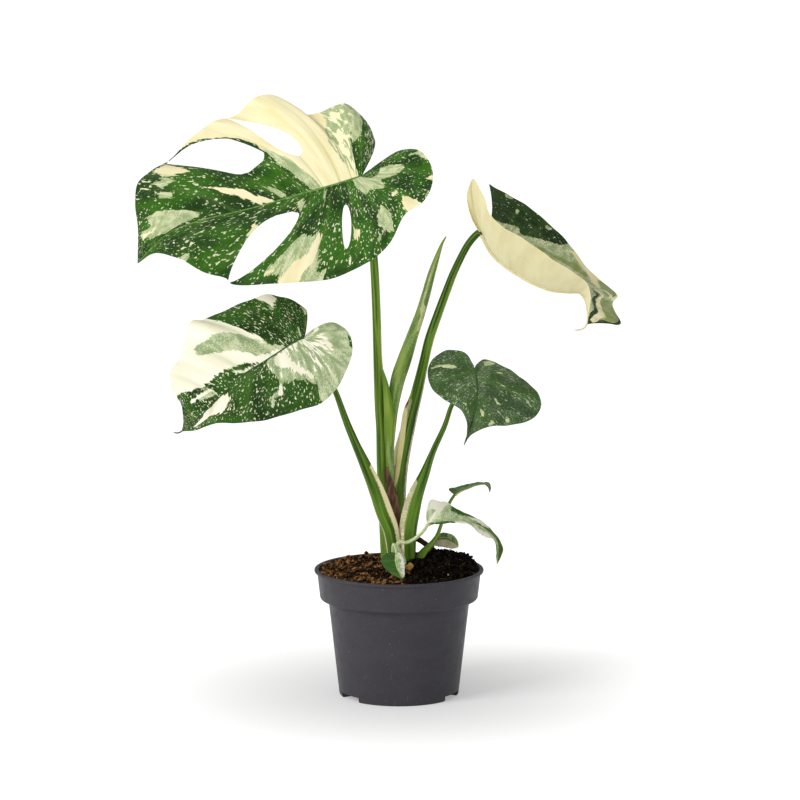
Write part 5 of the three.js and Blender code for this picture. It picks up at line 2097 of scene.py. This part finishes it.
BLADES = (
    UPPER_LEAF, LEFT_LEAF, RIGHT_LEAF, HEART_LEAF, ARCHING_SHOOT, NARROW_SHOOT, DROOPING_SHOOT,
    REAR_SHOOT,
)

STALK = TissueFinish(
    "stalk",
    dark=srgb(64, 98, 20),
    bright=srgb(124, 154, 52),
    clouds=(2.4, 90.0),
    frost_show=0.08,
    pale=srgb(196, 200, 150),
    pale_shade=srgb(164, 176, 116),
    cream=srgb(238, 228, 190),
    fleck=srgb(150, 168, 104),
    streak=(0.9, 26),
    ragged=0.9,
    fleck_level=0.78,
    dash_level=0.82,
    roughness=0.4,
    sheen=0.15,
    grain=0.06,
)
DARK_STALK = replace(
    STALK,
    name="dark stalk",
    dark=srgb(32, 64, 5),
    bright=srgb(96, 132, 30),
    olive=srgb(176, 180, 104),
    pale=srgb(206, 196, 164),
    pale_shade=srgb(172, 168, 130),
)
PALE_STALK = replace(
    STALK,
    name="pale stalk",
    dark=srgb(150, 172, 110),
    bright=srgb(206, 214, 176),
    clouds=(1.4, 14.0),
)
FURLED = replace(
    STALK,
    name="furled leaf",
    dark=srgb(74, 110, 38),
    bright=srgb(140, 164, 72),
    clouds=(3.0, 34.0),
    frost=srgb(196, 204, 160),
    frost_show=0.3,
    fleck=srgb(196, 204, 160),
    fleck_level=0.72,
    dash_size=(1.2, 9.0),
    dash_level=0.74,
    sheen=0.25,
)
SHEATH = replace(
    STALK,
    name="sheath wing",
    dark=srgb(92, 128, 28),
    bright=srgb(140, 166, 58),
    cream=srgb(222, 210, 158),
    cream_shade=srgb(190, 184, 112),
    olive=srgb(126, 66, 44),
)
BARK = PlainFinish("stem", srgb(86, 84, 46), srgb(58, 50, 30), (5, 5, 2.5), 0.5, (0.8, 0.8, 0.5), 0.8)
DRY = PlainFinish("dry sheath", srgb(120, 92, 72), srgb(82, 58, 44), (2, 2, 14), 0.4, (0.5, 0.5, 5), 0.9)
ROOT = PlainFinish(
    "aerial root", srgb(84, 54, 38), srgb(52, 34, 26), (3, 3, 3), 0.5, (0.7, 0.7, 0.7), 0.85
)
HUSK = PlainFinish(
    "dry husk", srgb(176, 142, 74), srgb(140, 104, 50), (3, 3, 3), 0.4, (3, 0.5, 0.5), 0.85
)

STALKS = (
    Stalk(
        "petiole_left", "petiole", DARK_STALK, curl=0.35,
        rows=(
            (-4.5, -11, 98, 9, 9), (-5, -12, 122, 9.5, 9.5, 0, 1), (-8.2, -13, 147, 10, 9.5, 0, 3.5),
            (-15, -14, 165, 10.5, 9, 0, 4.5), (-22, -16, 186, 9.5, 8.5, 0, 4),
            (-30, -18, 208, 8.5, 7.5, 0, 1.6), (-38, -20, 228, 7.4, 6.6), (-46, -22, 248, 6.2, 6),
            (-56, -24, 276, 5, 5), (-67, -26, 298, 4.8, 4.8), (-76, -32, 313, 4.8, 4.8),
            (-82, -39, 323, 4.6, 4.6),
        ),
        patches=(
            CREAM.patch((65, 10), (65, 46), (86, 48), (86, 8)),
            PALE.patch((20, 6), (20, 50), (33, 42), (33, 10)),
        ),
        grooves=9,
    ),
    Stalk(
        "petiole_heart", "petiole", DARK_STALK, curl=0.35,
        rows=(
            (7, -8, 98, 9, 9), (9, -9, 122, 11, 9.5, 1, 0), (9.8, -11, 147, 11.5, 9.5, 4, 0),
            (12.8, -12, 165, 11, 9, 4.6, 0), (16.8, -13, 181, 9.2, 8, 4.2, 0),
            (23, -13, 199, 7.2, 6.8, 2, 0), (29.6, -12, 219, 5.6, 5.6), (40, -10, 242, 4.6, 4.6),
            (46, -6, 259, 4.1, 4.1), (55, 0, 274, 4, 4), (62, -1, 285, 4, 4), (66, -9, 291, 3.8, 3.8),
        ),
        patches=(
            MARBLE.patch((14, 13), (14, 48), (35, 45), (36, 13)),
            DASHES.patch((28, 28), (26, 50), (40, 50), (40, 24)),
        ),
        grooves=9,
    ),
    Stalk(
        "petiole_upper", "petiole", STALK, curl=-0.5, rings=220,
        rows=(
            (-10, 8, 98, 9, 9), (-11, 8, 123, 10.5, 9.5), (-12, 8, 141, 10.5, 9.5, 0, 1.5),
            (-13.5, 9, 173, 10, 9, 0, 2), (-15, 10, 203, 9.6, 8.6, 0, 2.4), (-16, 12, 235, 8.6, 8, 0, 2.4),
            (-17.5, 13, 256, 8, 7.6, 0, 2), (-18.5, 16, 285, 7.9, 7.4, 0, 1), (-19, 18, 305, 7.8, 7.4),
            (-20, 21, 341, 7.6, 7.2), (-22, 25, 382, 7.4, 7), (-26, 26, 418, 7, 6.8),
            (-31, 20, 444, 6.6, 6.6), (-33, 13, 459, 6, 6),
        ),
        patches=(PALE.patch((66, 10), (66, 62), (80, 62), (80, 10)),),
        grooves=9,
    ),
    Stalk(
        "petiole_right", "petiole", DARK_STALK, curl=-0.3, rings=220,
        rows=(
            (-1, 15, 98, 9, 9), (-1, 15, 121, 11, 10), (-1, 14, 150, 11, 10, 1, 1),
            (-0.5, 13, 175, 10.5, 9.6, 3, 1.5), (1.5, 12, 202, 10.4, 9, 4, 1.5),
            (8, 12, 235, 9.4, 8.4, 2.4, 1.2), (16, 12, 270, 9, 8.2, 0.6, 0.8), (22, 12, 296, 8.6, 8),
            (27, 12, 317, 8.4, 7.8), (34.6, 12, 339, 7.9, 7.3), (41.6, 12, 358, 7.4, 7),
            (49, 12, 377, 6.8, 6.5), (60, 11, 399, 6.4, 6.2), (69, 9, 410, 6.2, 6), (73, 8, 411, 5.8, 5.8),
        ),
        patches=(
            OLIVE.patch((15, 14), (15, 52), (34, 50), (42, 20), (40, 14)),
            CREAM.patch((15, 30), (15, 52), (30, 50), (36, 32)),
            PALE.patch((67, 12), (66, 95), (80, 95), (80, 12)),
        ),
        grooves=9,
    ),
    Stalk(
        "furled_leaf", "furled_leaf", FURLED, rings=240, lip=0.09, turns=0.8,
        rows=(
            (-4, 2, 141, 5, 5), (-6, 2.5, 155, 5.4, 5), (-7, 3, 182, 6, 5.4), (-8, 4, 213, 6.6, 6),
            (-7, 5, 235, 7.6, 6.6), (-5, 7, 258, 9.6, 7.6), (-1, 10, 280, 12, 8.6), (5, 12, 298, 12, 8.6),
            (12, 14, 319, 9.8, 8), (19, 15, 339, 8.2, 7.2), (24, 16, 356, 7.5, 6.6),
            (29.5, 17, 376, 6.2, 5.6), (37, 18, 398, 2.6, 2.6), (41.5, 18, 406.5, 0.9, 0.9),
        ),
        patches=(
            PALE.patch((56, 68), (50, 75), (66, 76), (70, 69)),
            PALE.patch((42, 78), (44, 90), (50, 90), (50, 76)),
        ),
    ),
    Stalk(
        "sheath_wing_upper", "petiole", SHEATH, curl=1.1, rings=70, added=True,
        rows=(
            (-11.5, 5, 194, 1, 1), (-8.9, 2.2, 212, 2.4, 1.2, 1.8, 0), (-6.8, 1.6, 236, 4, 1.4, 4.6, 0),
            (-6.2, 1.6, 252, 4, 1.4, 5.2, 0), (-9.9, 3.6, 275, 2.4, 1.2, 3, 0),
            (-14.2, 7.5, 290, 0.8, 0.8, 0.3, 0),
        ),
    ),
    Stalk(
        "sheath_wing_right", "petiole", SHEATH, rings=70, added=True,
        rows=(
            (-5, 9, 168, 1.2, 1), (-2.9, 8.6, 183, 3.4, 1.4), (-1.3, 8.2, 196, 4.6, 1.5),
            (0.4, 8, 211, 5, 1.5), (2.4, 8, 226, 5.2, 1.5), (4.2, 8, 241, 4.8, 1.5), (6.3, 8.4, 254, 4, 1.4),
            (9.9, 8.8, 264, 2.6, 1.3), (12.6, 9.4, 273, 0.8, 0.8),
        ),
        patches=(
            CREAM.patch((10, 10), (10, 84), (45, 86), (80, 70), (66, 30), (40, 10)),
            OLIVE.patch((30, 83), (30, 90), (55, 91), (50, 82)),
        ),
    ),
    Stalk(
        "stem", "stem", BARK, rings=50, lump=0.5,
        rows=(
            (-3, 2, 84, 11, 11), (-3, 2, 110, 12.5, 12.5), (-3, 2, 130, 11.5, 11.5), (-3.5, 2, 138, 8, 8),
            (-4, 2, 141, 4, 4),
        ),
    ),
    Stalk(
        "dry_sheath", "dry_sheath", DRY, curl=0.9, lump=0.35, lump_size=2.5,
        rows=(
            (-1.5, -4.5, 120, 6, 1.6, 1, 1), (-1.8, -4.5, 148, 6.5, 1.6, 1, 1),
            (-3.4, -4, 164, 7, 1.5, 1, 1), (-6.6, -3, 182, 6.4, 1.4, 1, 1),
            (-10, -2.5, 196, 4.4, 1.2, 0.5, 0.5), (-12, -2, 205, 1.4, 1),
        ),
    ),
    Stalk(
        "aerial_root", "aerial_root", ROOT, lump=0.3, lump_size=2.2,
        rows=(
            (-1, 22, 122, 4.6, 4.6), (7, 21, 132, 4.8, 4.8), (15.6, 20, 135.6, 4.8, 4.8),
            (25, 21, 130, 4.6, 4.6), (32, 23, 124, 4.4, 4.4), (38, 26, 114, 4, 4),
        ),
    ),
    Stalk(
        "dry_husk", "dry_husk", HUSK, curl=0.8, rings=60, sides=32, lump=0.2, lump_size=2.0,
        rows=(
            (3.6, -27, 118.8, 3.4, 1.4, 1, 1), (5.6, -28.4, 120.6, 6, 1.5, 1, 1),
            (8.6, -29.6, 120.2, 6.4, 1.5, 1, 1), (11.4, -30.6, 118.6, 4, 1.3, 1, 1),
        ),
    ),
    Stalk(
        "shoot_petiole_arching", "petiole", PALE_STALK, rings=100, sides=32,
        rows=(
            (5, -21, 100, 5, 4), (3.5, -22, 122, 6.5, 3.6), (0, -23.5, 132, 5, 3.4),
            (-1.5, -24, 138.6, 3.8, 3.6), (1.8, -26, 141.4, 3.4, 3.6), (6.8, -27, 141.4, 3.4, 3.4),
            (14.9, -28, 145.8, 3.3, 3.3), (21.9, -28, 152.5, 3, 3), (25.3, -28, 157.9, 2.8, 2.8),
        ),
    ),
    Stalk(
        "shoot_petiole_narrow", "petiole", STALK, rings=100, sides=32,
        rows=(
            (12, 6, 100, 5, 5), (17, -6, 119, 7, 5.5), (21.2, -5, 127.8, 7, 5), (27.4, -3, 134, 5.2, 4),
            (33.6, 0, 142.1, 3.6, 3.2), (37.6, 3, 152.3, 3.1, 3), (41.6, 5, 162.8, 2.9, 2.9),
            (45.2, 6, 171.6, 2.8, 2.8), (49.4, 6, 178.2, 2.6, 2.6),
        ),
    ),
    Stalk(
        "shoot_petiole_drooping", "petiole", PALE_STALK, rings=60, sides=24,
        rows=(
            (-4.5, -28, 100, 3, 3), (-5.4, -30, 122, 3, 3), (-5.4, -32, 135, 2.6, 2.6),
            (-5, -34, 140.5, 2.4, 2.4), (-4.2, -38, 141.8, 2.2, 2.2), (-3.2, -41.5, 139, 2.1, 2.1),
            (-2.6, -42.8, 134.8, 2, 2),
        ),
    ),
    Stalk(
        "shoot_petiole_rear", "petiole", DARK_STALK, rings=40, sides=24,
        rows=(
            (20, 16, 102, 3, 3), (24, 16, 120, 3, 3), (28, 17, 126.8, 2.6, 2.6), (31, 18, 130.2, 2.2, 2.2),
        ),
    ),
)

DUSTY = {"roughness": 0.95, "sheen": 0.05}
COIR = PlainFinish("coir chips", srgb(142, 100, 58), srgb(36, 24, 15), (2.6, 2.6, 2.6), 0.5, **DUSTY)
PEAT = PlainFinish("peat crumbs", srgb(16, 12, 10), srgb(40, 30, 24), (2, 2, 2), 0.5, **DUSTY)
LIGHT_BITS = PlainFinish("light bits", srgb(190, 172, 140), srgb(140, 116, 84), (2, 2, 2), 0.2, **DUSTY)
FIBRE = PlainFinish("coir fibres", srgb(140, 98, 60), srgb(96, 64, 40), (6, 6, 6), 0.1, **DUSTY)

LOOSE_BITS = (
    LooseBits("soil_crumbs", SoilFinish("soil"), 10, (1.4, 6.0), (1, 0.85, 0.7), seed=3, rise=0.4),
    LooseBits("coir_chips", COIR, 8, (2.4, 9.0), (1, 0.65, 0.5), right=8, seed=5, rise=0.6),
    LooseBits("peat_crumbs", PEAT, 9, (1.6, 6.5), (1, 0.8, 0.7), left=-45, seed=8, rise=0.5),
    LooseBits("light_bits", LIGHT_BITS, 6, (0.8, 2.4), (1, 0.7, 0.5), seed=13, rise=0.9),
    LooseBits("coir_fibres", FIBRE, 7, (8, 20), (1, 0.03, 0.03), seed=21, rise=1.2, flat=True),
)


# Studio


@dataclass(frozen=True)
class Lamp:
    """A square area light that looks at the middle of the plant."""

    name: str
    place: Point
    size: float
    power: float
    aim: Point = (0, 0, 0.27)

    def build(self) -> None:
        """Builds the lamp."""
        bpy.ops.object.light_add(type="AREA", location=self.place)
        light = bpy.context.object
        light.name = self.name
        light.data.shape = "SQUARE"
        light.data.size = self.size
        light.data.energy = self.power
        way = Vector(self.aim) - Vector(self.place)
        light.rotation_euler = way.to_track_quat("-Z", "Y").to_euler()


@dataclass(frozen=True)
class Studio:
    """A white room: floor, sky, soft lights and the camera of the photograph."""

    floor_size: float = 60.0
    glow_with_painted_shadow: Share = (0.31, 0.72)  # light of the floor itself near the pot, where it is dimmed as a painted shadow, and far off
    painted_shadow_reach: Share = (0.06, 0.34)  # metres from the pot's middle between the two, over which the painted shadow fades out
    sky: float = 0.55
    lamps: tuple[Lamp, ...] = (
        Lamp("key", (-2.3, -1.8, 1.6), 1.6, 68),
        Lamp("fill", (0.1, -3.2, 1.9), 1.8, 8),
    )
    camera_place: Point = (0.0009, -3.0, 0.710)
    camera_tilt: float = 81.54
    lens: float = 155.1
    sensor: float = 36.0
    sight: float = 100.0  # metres that the camera sees

    def build(self) -> None:
        """Builds floor, world, lights and camera."""
        self._floor()
        self._world()
        for lamp in self.lamps:
            lamp.build()
        self._camera()
        bpy.context.scene.view_settings.view_transform = "Standard"

    def _floor(self) -> None:
        """Lays a pale floor at the height of the pot's underside, whose own glow is dimmed near the pot as a
        painted shadow.
        """
        bpy.ops.mesh.primitive_plane_add(size=self.floor_size)
        floor = bpy.context.object
        floor.name = "floor"
        graph = Graph("floor")
        length = {"operation": "LENGTH"}
        distance = graph.node("ShaderNodeVectorMath", length, {0: graph.place()}, "Value")
        # painted shadow: the floor's own glow is lower near the pot's middle
        glow_with_painted_shadow = graph.ramp(distance, *self.painted_shadow_reach, *self.glow_with_painted_shadow)
        floor.data.materials.append(
            graph.surface(
                Base_Color=(0.6, 0.6, 0.6),
                Roughness=0.9,
                Emission_Color=graph.mix(glow_with_painted_shadow, (0.0, 0.0, 0.0), (1.0, 1.0, 1.0)),
                Emission_Strength=1.0,
            )
        )

    def _world(self) -> None:
        """Sets white surroundings that light the plant from all sides."""
        world = bpy.data.worlds.new("room")
        world.use_nodes = True
        background = world.node_tree.nodes["Background"]
        background.inputs["Color"].default_value = (1, 1, 1, 1)
        background.inputs["Strength"].default_value = self.sky
        bpy.context.scene.world = world

    def _camera(self) -> None:
        """Sets up the camera at the photograph's angle."""
        bpy.ops.object.camera_add(
            location=self.camera_place, rotation=(math.radians(self.camera_tilt), 0, 0)
        )
        camera = bpy.context.object
        camera.data.lens = self.lens
        camera.data.sensor_width = self.sensor
        camera.data.clip_end = self.sight
        bpy.context.scene.camera = camera


def main() -> None:
    """Builds the whole scene, reports each piece and notes the sizes."""
    logging.basicConfig(level=logging.INFO, format="%(message)s")
    for builder in (*BLADES, *STALKS, Pot(), Soil(), *LOOSE_BITS):
        piece = builder.build()
        log.info("%s: %d faces", piece.name, len(piece.data.polygons))
    Studio().build()


if __name__ == "__main__":
    main()
